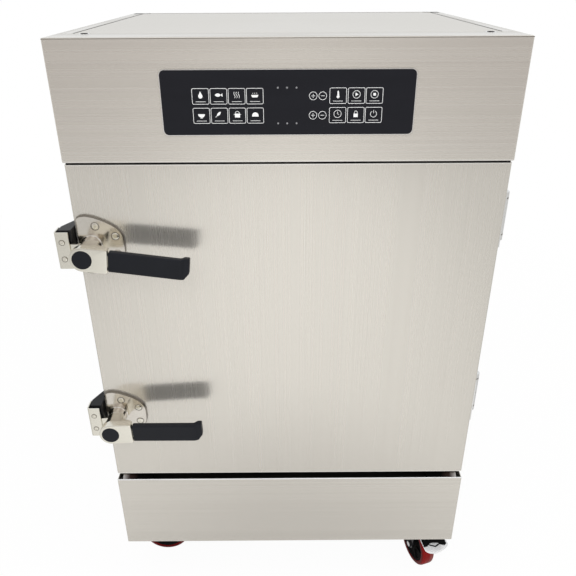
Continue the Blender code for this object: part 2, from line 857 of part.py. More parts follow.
def build_feed_valve():
    """Solenoid valve with its threaded inlet behind the back sheet."""
    valve = add_piece(
        "feed_valve", box((-0.018, 0.532, -0.016), (0.018, 0.572, 0.016)), "black_plastic",
        (FEED_PLACE[0], FRONT_Y, FEED_PLACE[1]),
    )
    start = TANK_BACK + 0.0018
    feed = turned(
        [(0, start), (0.006, start), (0.006, 0.540), (0, 0.540)], "Y", 12,
    )
    fuse(valve, feed)
    inlet = turned(
        [(0, 0.560), (0.0102, 0.560), (0.0102, DEPTH + 0.022), (0.0072, DEPTH + 0.022),
         (0.0072, DEPTH + 0.004), (0, DEPTH + 0.004)],
        "Y", 14,
    )
    fuse(valve, inlet)
    coil = turned(
        [(0, 0.010), (0.013, 0.010), (0.013, 0.046), (0.004, 0.050), (0, 0.050)],
        "Z", 14, (0.0, 0.552),
    )
    fuse(valve, coil)


def build_cable_gland():
    """Cable gland in the back sheet, with its nuts and bore."""
    profile = [
        (0.0045, DEPTH - 0.010), (0.0082, DEPTH - 0.010), (0.0082, DEPTH + 0.001),
        (0.0095, DEPTH + 0.008), (0.0095, DEPTH + 0.020), (0.0075, DEPTH + 0.026),
        (0.0045, DEPTH + 0.026),
    ]
    gland = add_piece(
        "cable_gland", turned(profile, "Y", 14, (0.0, 0.0), loop=True), "black_plastic",
        (GLAND_PLACE[0], FRONT_Y, GLAND_PLACE[1]),
    )
    for start, end, across in ((GAP, 0.007, 0.0135), (-0.009, -0.004, 0.0130)):
        nut = circle((0.0, 0.0), across, 6)
        fuse(gland, prism(nut, "Y", DEPTH + start, DEPTH + end))
    bore = prism(circle((0.0, 0.0), 0.0045, 14), "Y", DEPTH - 0.02, DEPTH + 0.04)
    cut(gland, bore)


# Door

def build_door(hinge):
    """Door shell, liner, filling and seal, carried by the hinge."""
    half = DOOR_WIDTH / 2
    back = DOOR_SETBACK + DOOR_THICKNESS
    low = (-half, behind(DOOR_SETBACK), DOOR_LOW_Z)
    high = (half, behind(back), DOOR_HIGH_Z)
    sheet_box("door_skin", low, high, ("back",), parent=hinge, lip=DOOR_LIP, segments=2)

    margin = 0.002
    fill_low = Vector((-half + margin, behind(DOOR_SETBACK + 0.0018), DOOR_LOW_Z + margin))
    fill_high = Vector((half - margin, behind(back - SHEET - GAP), DOOR_HIGH_Z - margin))
    centre = midpoint(fill_low, fill_high)
    fill = box(fill_low - centre, fill_high - centre)
    add_piece("door_insulation", fill, "foam", centre, hinge)

    middle = (CHAMBER_LOW_Z + CHAMBER_HIGH_Z) / 2
    rim_half = half - 0.005
    rim_low = middle - (DOOR_LOW_Z + 0.005)
    rim_high = DOOR_HIGH_Z - 0.005 - middle
    plug_half = CHAMBER_WIDTH / 2 - 0.009
    plug_height = (CHAMBER_HIGH_Z - CHAMBER_LOW_Z) / 2 - 0.009
    taper = 0.006
    outer = (-rim_half, -rim_high, rim_half, rim_low)
    mouth = (-plug_half, -plug_height, plug_half, plug_height)
    top = (mouth[0] + taper, mouth[1] + taper, mouth[2] - taper, mouth[3] - taper)
    pan = add_piece(
        "door_inner_pan", dish(outer, mouth, top, PLUG_HEIGHT, 0.003), "brushed_steel",
        (0.0, behind(back + SHEET + GAP), middle), hinge, closed=False,
    )
    pan.rotation_euler = (-math.pi / 2, 0.0, 0.0)
    thicken(pan, SHEET)

    outside = (0.3215, 0.3105)
    inside = (0.3075, 0.2965)
    loops = []
    for x, z in (outside, inside):
        loops.append(round_corners(rectangle((-x, -z), (x, z)), 0.008, 3))
    start = back + SHEET + 2 * GAP
    seal = add_piece(
        "door_gasket", prism(loops[0], "Y", start, FRONT_BOX_DEPTH - GAP), "grey_rubber",
        (0.0, FRONT_Y, middle), hinge,
    )
    cut(seal, prism(loops[1], "Y", start - 0.01, FRONT_BOX_DEPTH + 0.01))


def hinge_side(sign_to_door, name, parent, height):
    """Leaf and half barrel; the body's half also carries the pin."""
    half = HINGE_LENGTH / 2
    joint = 0.0005
    if sign_to_door:
        low, high = 0.0125, HINGE_BEHIND - KNUCKLE_RADIUS - 0.0005
        outline = [(low, -half), (high, -half), (high, joint), (HINGE_BEHIND, joint),
                   (HINGE_BEHIND, half), (low, half)]
        inner = DOOR_WIDTH / 2 + GAP
        barrel = (joint, half)
    else:
        low, high = HINGE_BEHIND + 0.022, HINGE_BEHIND + 0.062
        outline = [(HINGE_BEHIND, -half), (high, -half), (high, half), (low, half),
                   (low, -joint), (HINGE_BEHIND, -joint)]
        inner = WIDTH / 2 + GAP
        barrel = (-half, -joint)
    leaf = add_piece(
        name, prism(outline, "X", inner, inner + HINGE_LEAF), "satin_nickel",
        (0.0, FRONT_Y, height), parent,
    )
    axis = (HINGE_X, HINGE_BEHIND)
    fuse(leaf, turned([(0, barrel[0]), (KNUCKLE_RADIUS, barrel[0]), (KNUCKLE_RADIUS, barrel[1]),
                       (0, barrel[1])], "Z", 16, axis))
    if sign_to_door:
        cut(leaf, prism(circle(axis, PIN_RADIUS + 0.0004, 12), "Z", -0.01, half + 0.01))
    else:
        fuse(leaf, turned([(0, -0.02), (PIN_RADIUS, -0.02), (PIN_RADIUS, half - 0.002),
                           (0, half - 0.002)], "Z", 12, axis))


def build_hinges(hinge):
    """Two lift-off hinges on the right side."""
    for place, height in HINGE_HEIGHTS.items():
        hinge_side(False, f"hinge_leaf_{place}", None, height)
        hinge_side(True, f"hinge_knuckle_{place}", hinge, height)


# Latches

def latch_flange_outline():
    """Cast flange, tall beside the door's edge and narrow towards the grip."""
    upper = [(-0.0225, 0.049), (0.000, 0.0485), (0.023, 0.0387), (0.041, 0.0265),
             (0.0535, 0.0177)]
    lower = [(x, -z) for x, z in reversed(upper)]
    return round_corners(upper + lower, 0.006, 3)


def build_latch_base(place, pivot, hinge):
    """Cast base with a flange, a conical neck and the lever's spindle."""
    base = add_piece(
        f"latch_base_{place}", prism(latch_flange_outline(), "Y", -0.0053, -GAP),
        "satin_nickel", pivot, hinge,
    )
    soften(base, 0.0012)
    neck = turned(
        [(0, -0.003), (NECK_FOOT, -0.003), (NECK_FOOT, -0.0056),
         (NECK_RADIUS + 0.0006, -0.0076), (NECK_RADIUS, -0.0125),
         (NECK_RADIUS - 0.0008, -NECK_FACE), (SPINDLE_RADIUS, -NECK_FACE),
         (SPINDLE_RADIUS, -0.060), (0, -0.060)],
        "Y", 20,
    )
    fuse(base, neck)


def hub_outline():
    """Round end about the pivot and a straight bar towards the grip."""
    bar_end = GRIP_START + 0.001
    round_end = circle((0.0, 0.0), HUB_RADIUS, 16, math.pi / 2, math.pi)
    return round_end + [(bar_end, -HUB_RADIUS), (bar_end, HUB_RADIUS)]


def build_lever(place, joint):
    """Cast lever with its barrel, the nose behind the keeper and the tang."""
    lever = add_piece(
        f"lever_{place}", prism(hub_outline(), "Y", -HUB_FACE, -HUB_BACK), "satin_nickel",
        parent=joint, location=world_place(joint),
    )
    soften(lever, 0.0015)
    barrel = turned(
        [(0, -0.0196), (0.0152, -0.0196), (0.0158, -0.0250), (0.0166, -0.0330),
         (0.0178, -0.0410), (0.0192, -HUB_BACK - 0.002), (0, -HUB_BACK - 0.002)],
        "Y", 20,
    )
    fuse(lever, barrel)
    tip = 0.0065
    root = 0.0085
    nose = [(0.004, -root), (-NOSE_REACH + 0.002, -tip), (-NOSE_REACH, -tip + 0.002),
            (-NOSE_REACH, tip - 0.002), (-NOSE_REACH + 0.002, tip), (0.004, root)]
    fuse(lever, prism(nose, "Y", -0.0263, -0.0203))
    tang = box((0.020, -0.0615, -0.010), (0.140, -0.0575, 0.010))
    fuse(lever, tang)
    bore = turned(
        [(0, -0.0605), (SPINDLE_RADIUS + 0.0004, -0.0605), (SPINDLE_RADIUS + 0.0004, -0.010),
         (0, -0.010)],
        "Y", 14,
    )
    recess = prism(circle((0.0, 0.0), CAP_RADIUS + GAP, 24), "Y", -0.08, -0.0625)
    cut(lever, merged([bore, recess]))


def grip_section(x, centre, low, high):
    """Chamfered rectangle across the grip, square to the lever."""
    half = GRIP_THICKNESS / 2
    chamfer = 0.0022
    shape = [
        (half, low + chamfer), (half, high - chamfer), (half - chamfer, high),
        (chamfer - half, high), (-half, high - chamfer), (-half, low + chamfer),
        (chamfer - half, low), (half - chamfer, low),
    ]
    return [(x, -centre + depth, z) for depth, z in shape]


def build_grip(place, joint):
    """Moulded grip with a cranked, slanted end and the pocket for the tang."""
    half = GRIP_HEIGHT / 2
    sections = []
    for x, bent, raised, horn in (
        (GRIP_START + 0.0013, 0.0, 0.0015, -0.0015),
        (GRIP_START + 0.0033, 0.0, 0.0, 0.0),
        (GRIP_END - 0.0145, 0.0, 0.0, 0.0),
        (GRIP_END - 0.0085, 0.0036, -0.0010, 0.0012),
        (GRIP_END - 0.0065, 0.0040, 0.0017, 0.0015),
        (GRIP_END, 0.0042, 0.0105, 0.0014),
    ):
        centre = 0.0585 + math.tan(GRIP_LEAN) * (x - GRIP_START) - bent
        sections.append(grip_section(x, centre, -half + raised, half + horn))
    grip = add_piece(
        f"grip_{place}", loft(sections), "black_plastic",
        parent=joint, location=world_place(joint),
    )
    cut(grip, box((0.020, -0.0618, -0.0103), (0.1403, -0.0572, 0.0103)))


def build_cap(place, joint):
    """Round cover over the pivot."""
    profile = [(0, -0.0628), (CAP_RADIUS, -0.0628), (CAP_RADIUS, -CAP_FACE + 0.0012),
               (CAP_RADIUS - 0.0012, -CAP_FACE), (0, -CAP_FACE)]
    add_piece(
        f"cap_{place}", turned(profile, "Y", 24), "black_plastic",
        parent=joint, location=world_place(joint),
    )


def build_keeper(place, height):
    """Striker on the cabinet's left side: a black block and its bent cover plate."""
    centre = KEEPER_OUTSIDE + KEEPER_SHEET / 2
    face = KEEPER_FACE - KEEPER_SHEET / 2
    path = [(KEEPER_INSIDE, -face), (centre, -face), (centre, -0.004)]
    half = KEEPER_HEIGHT / 2
    side = (-WIDTH / 2, behind(DOOR_SETBACK), height)
    add_piece(
        f"keeper_plate_{place}", prism(folded_sheet(path, KEEPER_SHEET, 0.003), "Z", -half, half),
        "satin_nickel", side,
    )
    outer = KEEPER_OUTSIDE + KEEPER_SHEET + GAP
    foot_inner = -GAP
    foot_outer = foot_inner - 0.008
    profile = [
        (outer, -0.019), (foot_inner - 0.0012, -0.019), (foot_inner, -0.017), (foot_inner, 0.104),
        (foot_outer + 0.001, 0.104), (foot_outer, 0.102), (foot_outer, 0.030),
        (outer, 0.0),
    ]
    block = add_piece(
        f"keeper_block_{place}", prism(profile, "Z", -half, half), "black_plastic", side,
    )
    soften(block, 0.0012)


def build_latches(hinge):
    """Both latches with their keepers."""
    for place, (x, height, tilt) in LATCHES.items():
        pivot = (x, behind(DOOR_SETBACK), height)
        build_keeper(place, height)
        build_latch_base(place, pivot, hinge)
        joint = add_joint(
            f"lever_{place}_axis", pivot, hinge, (0.0, math.radians(tilt), 0.0)
        )
        build_lever(place, joint)
        build_grip(place, joint)
        build_cap(place, joint)


# Castors

def build_castor_plate(name, x, y):
    """Mounting plate with the fixed race and the kingpin."""
    top = BASE_Z - GAP
    outline = round_corners(rectangle((-0.033, -0.046), (0.033, 0.046)), 0.006, 3)
    plate = add_piece(name, prism(outline, "Z", top - 0.0035, top), "chrome", (x, behind(y), 0.0))
    race = turned(
        [(0, top - 0.002), (0.021, top - 0.002), (0.023, top - 0.0055), (0.021, 0.1152),
         (KINGPIN_RADIUS, 0.1152), (KINGPIN_RADIUS, 0.1055), (0.0085, 0.1052),
         (0.0085, 0.1005), (0, 0.1005)],
        "Z", 14,
    )
    fuse(plate, race)


def fork_side_outline():
    """Side view of the fork: crown above, rounded eye at the axle."""
    eye = circle((-CASTOR_TRAIL, WHEEL_RADIUS), 0.010, 6, math.radians(350), math.radians(-160))
    return [(0.022, CROWN_TOP + 0.001), (0.022, CROWN_TOP - 0.012), (0.006, 0.088)] + eye + [
        (-0.0415, 0.088), (-0.0520, 0.0965), (-0.0520, CROWN_TOP + 0.001),
    ]


def build_fork(name, joint):
    """Pressed yoke with the swivel race and the axle bolt."""
    middle = FORK_INSIDE + FORK_SHEET / 2
    crown = CROWN_TOP - FORK_SHEET / 2
    yoke_path = [(-middle, 0.030), (-middle, crown), (middle, crown), (middle, 0.030)]
    fork = add_piece(
        name, prism(folded_sheet(yoke_path, FORK_SHEET, 0.0035), "Y", -0.055, 0.030),
        "black_paint", world_place(joint), joint,
    )
    shape_with(fork, prism(fork_side_outline(), "X", -0.03, 0.03), "INTERSECT")
    race = turned(
        [(0, CROWN_TOP - 0.001), (0.0235, CROWN_TOP - 0.001), (0.0235, 0.1125),
         (0.0215, 0.1149), (0, 0.1149)],
        "Z", 14,
    )
    fuse(fork, race)
    bolt_end = FORK_INSIDE + FORK_SHEET
    axle = turned(
        [(0, -bolt_end - 0.004), (0.0075, -bolt_end - 0.004), (0.0075, -bolt_end + 0.001),
         (AXLE_RADIUS, -bolt_end + 0.001), (AXLE_RADIUS, bolt_end - 0.001),
         (0.0075, bolt_end - 0.001), (0.0075, bolt_end + 0.004), (0, bolt_end + 0.004)],
        "X", 10, (-CASTOR_TRAIL, WHEEL_RADIUS),
    )
    fuse(fork, axle)
    kingpin_hole = turned(
        [(0, 0.090), (0.0095, 0.090), (0.0095, 0.1058), (KINGPIN_RADIUS + 0.0004, 0.1058),
         (KINGPIN_RADIUS + 0.0004, 0.120), (0, 0.120)],
        "Z", 12,
    )
    pedal_hole = prism(circle(PEDAL_PIVOT, 0.0029, 8), "X", -0.03, 0.03)
    cut(fork, merged([kingpin_hole, pedal_hole]))


def build_wheel(name, joint):
    """Tyred wheel with a stepped hub and a bore."""
    half = WHEEL_WIDTH / 2
    bore = AXLE_RADIUS + 0.0004
    tread = WHEEL_RADIUS
    side = [
        (bore, half), (0.013, half), (0.016, half - 0.005), (0.034, half - 0.005),
        (0.036, half - 0.001), (tread - 0.003, half - 0.002), (tread, half - 0.008),
    ]
    profile = side + [(radius, -height) for radius, height in reversed(side)]
    add_piece(
        name, turned(profile, "X", 24, (0.0, 0.0), loop=True), "red_tyre",
        world_place(joint), joint,
    )


def build_pedal(name, joint):
    """Bent brake pedal on a cross pin between the fork's cheeks."""
    path = [(0.002, 0.001), (-0.012, 0.000), (-0.034, -0.0085), (-0.040, -0.0085)]
    outline = folded_sheet(path, 0.0028, 0.004)
    left = PEDAL_SHIFT - PEDAL_HALF_WIDTH
    right = PEDAL_SHIFT + PEDAL_HALF_WIDTH
    pedal = add_piece(
        name, prism(outline, "X", left, right), "chrome", world_place(joint), joint,
    )
    neck = PEDAL_NECK_HALF
    corner = 0.0055
    plan = [
        (-neck, 0.01), (-neck, -0.0095), (left, -0.0145), (left, -0.0355),
        (left + corner, -0.048), (right - corner, -0.048), (right, -0.0355), (right, -0.0145),
        (neck, -0.0095), (neck, 0.01),
    ]
    shape_with(pedal, prism(plan, "Z", -0.03, 0.02), "INTERSECT")
    fuse(pedal, turned([(0, -0.0203), (0.0024, -0.0203), (0.0024, 0.0203), (0, 0.0203)],
                       "X", 8))


def build_castors():
    """Four swivel castors; the front pair has brakes."""
    for place, (x, y, angle, braked) in CASTORS.items():
        build_castor_plate(f"castor_plate_{place}", x, y)
        heading = math.radians(angle)
        swivel = add_joint(
            f"castor_{place}_swivel", (x, behind(y), 0.0), turn=(0.0, 0.0, heading)
        )
        build_fork(f"fork_{place}", swivel)
        axle = add_joint(f"wheel_{place}_axle", world_place(swivel), swivel)
        axle.location = (0.0, -CASTOR_TRAIL, WHEEL_RADIUS)
        build_wheel(f"wheel_{place}", axle)
        if braked:
            pivot = add_joint(f"pedal_{place}_axis", world_place(swivel), swivel)
            pivot.location = (0.0, PEDAL_PIVOT[0], PEDAL_PIVOT[1])
            build_pedal(f"pedal_{place}", pivot)


def main():
    """Build the cabinet from the outside panels inwards."""
    for item in list(bpy.data.objects):
        bpy.data.objects.remove(item, do_unlink=True)
    build_side_panels()
    build_top_panel()
    build_back_panel()
    build_base_frame()
    build_plinth_panel()
    build_drip_trough()
    build_control_fascia()
    build_touch_panel()
    build_control_board()
    build_chamber_liner()
    build_insulation_jacket()
    build_racks()
    build_trays()
    build_water_tank()
    build_heating_element()
    build_steam_baffle()
    build_steam_vent()
    build_drain_valve()
    build_drain_handle()
    build_feed_valve()
    build_cable_gland()
    door_hinge = add_joint("door_hinge_axis", (HINGE_X, behind(HINGE_BEHIND), 0.0))
    build_door(door_hinge)
    build_hinges(door_hinge)
    build_latches(door_hinge)
    build_castors()


main()
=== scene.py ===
"""Looks of an electric steam cabinet: finishes, latches, castors, panel and studio.

Everything is in metres in the cabinet's own frame: +Z is up and the door faces -Y.
Each sub-assembly is a class that builds its fine pieces around the solid parts and
dresses both.
"""
import json
import logging
import math
import operator
from dataclasses import dataclass, field
from enum import Enum
from functools import lru_cache, reduce
from typing import Iterable, Optional, Sequence, Union

import bmesh
import bpy
from mathutils import Matrix, Vector


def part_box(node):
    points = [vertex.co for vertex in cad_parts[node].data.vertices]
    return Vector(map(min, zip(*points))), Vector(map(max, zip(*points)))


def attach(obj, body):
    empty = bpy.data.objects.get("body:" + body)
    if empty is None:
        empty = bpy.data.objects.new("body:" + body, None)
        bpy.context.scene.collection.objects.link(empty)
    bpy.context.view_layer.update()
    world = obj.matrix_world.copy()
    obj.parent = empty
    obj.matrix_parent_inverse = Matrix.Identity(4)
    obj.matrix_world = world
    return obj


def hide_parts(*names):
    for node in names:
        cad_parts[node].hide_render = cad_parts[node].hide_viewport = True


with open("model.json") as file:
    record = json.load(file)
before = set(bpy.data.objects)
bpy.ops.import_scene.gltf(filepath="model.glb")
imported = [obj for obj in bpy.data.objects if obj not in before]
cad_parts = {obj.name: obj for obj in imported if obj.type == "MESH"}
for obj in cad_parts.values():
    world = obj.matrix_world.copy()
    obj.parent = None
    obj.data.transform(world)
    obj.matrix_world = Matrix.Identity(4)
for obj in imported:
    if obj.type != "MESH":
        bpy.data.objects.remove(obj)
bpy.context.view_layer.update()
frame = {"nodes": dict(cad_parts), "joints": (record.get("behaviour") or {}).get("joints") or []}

LOG = logging.getLogger("steam_cabinet")

Triple = tuple[float, float, float]
Colour = Triple
Point = tuple[float, float]
Profile = tuple[Point, ...]
Stops = Sequence[tuple[float, Colour]]
Value = Union[float, "Channel", bpy.types.NodeSocket]

SIDES = (-1, 1)
HEXAGON = 6
THIN = 0.0002  # how far thin trim stands off its sheet, and sinks into it
BLACK, WHITE = (0.0, 0.0, 0.0), (1.0, 1.0, 1.0)
UNTURNED = (0.0, 0.0, 0.0)
FACE_UP = Matrix.Rotation(-math.pi / 2, 4, "X")
UPRIGHT = Matrix.Rotation(math.pi / 2, 4, "X")
FACE_RIGHT = Matrix.Rotation(math.pi / 2, 4, "Z")
FACE_BACK = Matrix.Rotation(math.pi, 4, "Z")


# Shader wiring

class Channel:
    """A number that varies over a surface, with arithmetic on it."""

    def __init__(self, sheet: "ShaderSheet", socket: bpy.types.NodeSocket) -> None:
        """Keep the socket and the sheet that it belongs to."""
        self.sheet = sheet
        self.socket = socket

    def _maths(self, operation: str, first: Value, second: Value) -> "Channel":
        """Result of one Math node."""
        node = self.sheet.node("Math", {"operation": operation}, {0: first, 1: second})
        return Channel(self.sheet, node.outputs[0])

    def __add__(self, other: Value) -> "Channel":
        """Sum."""
        return self._maths("ADD", self, other)

    def __radd__(self, other: Value) -> "Channel":
        """Sum with this channel on the right."""
        return self._maths("ADD", other, self)

    def __sub__(self, other: Value) -> "Channel":
        """Difference."""
        return self._maths("SUBTRACT", self, other)

    def __rsub__(self, other: Value) -> "Channel":
        """Difference with this channel on the right."""
        return self._maths("SUBTRACT", other, self)

    def __mul__(self, other: Value) -> "Channel":
        """Product."""
        return self._maths("MULTIPLY", self, other)

    def larger(self, other: Value) -> "Channel":
        """The larger of two values."""
        return self._maths("MAXIMUM", self, other)


class ShaderSheet:
    """The node tree of one material or of the world."""

    def __init__(self, tree: bpy.types.NodeTree) -> None:
        """Start with an empty tree."""
        self.tree = tree
        tree.nodes.clear()

    def node(
        self, kind: str, settings: Optional[dict] = None, inputs: Optional[dict] = None
    ) -> bpy.types.Node:
        """Add a node, set it up and feed its sockets.

        Args:
            kind: Node type without its ShaderNode prefix.
            settings: Node properties, set first; "stops" are a ramp's stops.
            inputs: Socket name or number to a value or link.

        Returns:
            The new node.
        """
        node = self.tree.nodes.new(f"ShaderNode{kind}")
        for name, value in (settings or {}).items():
            if name == "stops":
                self._set_stops(node, value)
            else:
                setattr(node, name, value)
        for name, value in (inputs or {}).items():
            self._feed(node.inputs[name], value)
        return node

    def _set_stops(self, node: bpy.types.Node, stops: Stops) -> None:
        """Give a colour ramp its stops.

        Args:
            node: The ramp node.
            stops: Place and colour of each stop, from low to high.
        """
        elements = node.color_ramp.elements
        while len(elements) < len(stops):
            elements.new(0.5)
        for element, (place, colour) in zip(elements, stops):
            element.position = place
            element.color = (*colour, 1.0)

    def _feed(self, socket: bpy.types.NodeSocket, value: Value) -> None:
        """Link a socket, or set its own value.

        Args:
            socket: The socket to feed.
            value: A channel, another socket, or a constant.
        """
        if isinstance(value, Channel):
            value = value.socket
        if isinstance(value, bpy.types.NodeSocket):
            self.tree.links.new(value, socket)
        elif isinstance(value, tuple) and len(value) == 3 and socket.type == "RGBA":
            socket.default_value = (*value, 1.0)
        else:
            socket.default_value = value

    def place(self, scale: Triple, turn: Triple = UNTURNED) -> bpy.types.NodeSocket:
        """Coordinates of the piece's own space, in repeats per metre and turned."""
        own = self.node("TexCoord").outputs["Object"]
        inputs = {"Vector": own, "Scale": scale, "Rotation": turn}
        return self.node("Mapping", {}, inputs).outputs["Vector"]

    def share(self, value: Value, low: float, high: float, kind: str = "LINEAR") -> Channel:
        """Share of the way of a value from a low one, 0, to a high one, 1."""
        inputs = {"Value": value, "From Min": low, "From Max": high}
        return Channel(self, self.node("MapRange", {"interpolation_type": kind}, inputs).outputs[0])

    def own_axis(self, axis: str, half: float) -> Channel:
        """Share of the way along one of the piece's own axes, from -half to half."""
        own = self.node("TexCoord").outputs["Object"]
        return self.share(self.node("SeparateXYZ", {}, {0: own}).outputs[axis], -half, half)

    def noise(self, scale: Triple, detail: float, turn: Triple = UNTURNED) -> Channel:
        """Noise of the given repeats per metre, from 0 to 1."""
        inputs = {"Vector": self.place(scale, turn), "Scale": 1.0, "Detail": detail}
        return Channel(self, self.node("TexNoise", {}, inputs).outputs["Fac"])

    def ramp(self, share: Value, stops: Stops) -> bpy.types.NodeSocket:
        """Colour at a share of the way along its stops."""
        return self.node("ValToRGB", {"stops": stops}, {"Fac": share}).outputs["Color"]

    def blend(self, share: Value, first: Value, second: Value) -> bpy.types.NodeSocket:
        """Mix two colours, where the share is the amount of the second."""
        inputs = {0: share, 6: first, 7: second}
        return self.node("Mix", {"data_type": "RGBA"}, inputs).outputs[2]

    def bump(self, height: Channel, distance: float, strength: float) -> bpy.types.NodeSocket:
        """Normal of a height from 0 to 1 that stands for a distance in metres."""
        inputs = {"Height": height, "Distance": distance, "Strength": strength}
        return self.node("Bump", {}, inputs).outputs["Normal"]

    def finish(self, **inputs: Value) -> None:
        """End the sheet in a Principled shader.

        Args:
            **inputs: Socket names, with _ for a space, and their values or links.
        """
        sockets = {name.replace("_", " "): value for name, value in inputs.items()}
        shader = self.node("BsdfPrincipled", {}, sockets)
        self.node("OutputMaterial", {}, {"Surface": shader.outputs[0]})


def new_sheet(name: str) -> tuple[bpy.types.Material, ShaderSheet]:
    """A material with an empty node tree.

    Args:
        name: Name of the material.

    Returns:
        The material and its sheet.
    """
    material = bpy.data.materials.new(name)
    material.use_nodes = True
    return material, ShaderSheet(material.node_tree)


# Finishes

@dataclass(frozen=True)
class Coat:
    """What a finish is made of."""

    name: str

    def material(self) -> bpy.types.Material:
        """Build the material.

        Returns:
            The finished material.
        """
        material, sheet = new_sheet(self.name)
        self.paint(sheet)
        return material

    def paint(self, sheet: ShaderSheet) -> None:
        """Lay the coat on a material's sheet."""
        raise NotImplementedError


class Grain(Enum):
    """Direction of the brushing, as repeats per metre along X, Y and Z."""

    UPRIGHT = (1.0, 1.0, 0.0011)
    ACROSS = (0.0011, 1.0, 1.0)

    def scaled(self, repeats: float) -> Triple:
        """Repeats per metre for streaks of one width."""
        return tuple(share * repeats for share in self.value)


@dataclass(frozen=True)
class BrushedSteel(Coat):
    """Stainless sheet with long brushing streaks and faint clouds of tone."""

    grain: Grain
    pale: Colour = (0.780, 0.743, 0.678)
    deep: Colour = (0.708, 0.673, 0.612)
    roughness: float = 0.20
    anisotropy: float = 0.75
    turned_streaks: bool = False
    scatter: float = 0.26
    contrast: float = 1.3

    def paint(self, sheet: ShaderSheet) -> None:
        """Lay the streaks on a sheet.

        Args:
            sheet: The material's node tree.
        """
        fine = sheet.noise(self.grain.scaled(600.0), 0.0)
        streak = sheet.noise(self.grain.scaled(210.0), 1.0)
        broad = sheet.noise(self.grain.scaled(60.0), 1.0)
        cloud = sheet.noise((4.0, 4.0, 4.0), 2.0)
        tone = fine * 0.30 + streak * 0.40 + broad * 0.20 + cloud * 0.10
        spread = (tone - 0.5) * self.contrast + 0.5
        rake = (streak * 0.6 + fine * 0.4 - 0.5) * 0.03
        sheet.finish(
            Base_Color=sheet.blend(spread, self.deep, self.pale),
            Metallic=1.0 - self.scatter - rake,
            Roughness=self.roughness - 0.02 + streak * 0.04,
            Anisotropic=self.anisotropy,
            Anisotropic_Rotation=0.25 if self.turned_streaks else 0.0,
            Normal=sheet.bump(fine * 0.3 + streak, 0.00004, 0.014),
        )


@dataclass(frozen=True)
class Layer:
    """A layer of noise, and its share in the tone, the roughness and the relief."""

    scale: Triple
    detail: float
    tone: float = 0.0
    haze: float = 0.0
    relief: float = 0.0
    turn: Triple = UNTURNED


@dataclass(frozen=True)
class Mottled(Coat):
    """Finish whose tone, roughness and relief come from layers of noise."""

    pale: Colour
    deep: Colour
    roughness: float
    layers: tuple[Layer, ...]
    contrast: float = 1.0
    depth: float = 0.00002
    strength: float = 0.3
    fixed: dict[str, float] = field(default_factory=dict)

    def paint(self, sheet: ShaderSheet) -> None:
        """Lay the mottles on a sheet.

        Args:
            sheet: The material's node tree.
        """
        noises = [sheet.noise(layer.scale, layer.detail, layer.turn) for layer in self.layers]
        sums = {}
        for part in ("tone", "haze", "relief"):
            shares = [getattr(layer, part) for layer in self.layers]
            terms = [noise * share for noise, share in zip(noises, shares) if share]
            sums[part] = reduce(operator.add, terms)
        spread = (sums["tone"] - 0.5) * self.contrast + 0.5
        sheet.finish(
            Base_Color=sheet.blend(spread, self.deep, self.pale),
            Roughness=self.roughness + sums["haze"],
            Normal=sheet.bump(sums["relief"], self.depth, self.strength),
            **self.fixed,
        )


def moulded(
    name: str, pale: Colour, deep: Colour, roughness: float, pitch: float = 1500.0,
    depth: float = 0.00005, coat: float = 0.0, gloss: float = 0.5,
) -> Mottled:
    """Moulded plastic, paint or rubber with a fine surface texture.

    Args:
        name: Name of the finish.
        pale: Its paler tone.
        deep: Its deeper tone.
        roughness: Its least roughness.
        pitch: Repeats of the texture per metre.
        depth: Depth of the texture.
        coat: Weight of a clear coat.
        gloss: Strength of its reflection.

    Returns:
        The finish.
    """
    texture = Layer((pitch,) * 3, 3.0, 0.35, 0.10, 1.0)
    layers = (texture, Layer((22.0,) * 3, 3.0, 0.65))
    fixed = {"Coat_Weight": coat, "Coat_Roughness": 0.12, "Specular_IOR_Level": gloss}
    return Mottled(name, pale, deep, roughness, layers, 1.8, depth, 0.45, fixed)


CAST_LAYERS = (
    Layer((420.0,) * 3, 3.0, 0.4, 0.12, 1.0),
    Layer((90.0, 1600.0, 1600.0), 2.0, 0.2, 0.0, 0.4, (0.4, 0.7, 0.3)),
    Layer((38.0,) * 3, 2.0, 0.4),
)
PLATED_LAYERS = (
    Layer((70.0,) * 3, 3.0, 1.0, 0.08, 1.0),
    Layer((1500.0, 120.0, 1500.0), 2.0, 0.0, 0.04, 0.3, (0.2, 0.5, 0.8)),
)
OVERLAY_LAYERS = (
    Layer((14.0, 14.0, 60.0), 3.0, 0.8, 0.10, 0.0, (0.0, 0.5, 0.0)),
    Layer((1900.0,) * 3, 1.0, 0.2, 0.0, 1.0),
)


def cast(name: str, pale: Colour, deep: Colour, roughness: float) -> Mottled:
    """Cast and tumbled metal, satin, with a faint peel and fine scuffs."""
    fixed = {"Metallic": 1.0}
    return Mottled(name, pale, deep, roughness, CAST_LAYERS, 1.6, 0.00012, fixed=fixed)


def printed(name: str, pale: Colour, deep: Colour) -> Mottled:
    """Printed ink with a slightly uneven cover."""
    return Mottled(name, pale, deep, 0.45, (Layer((800.0,) * 3, 2.0, 1.0, 0.2, 1.0),))


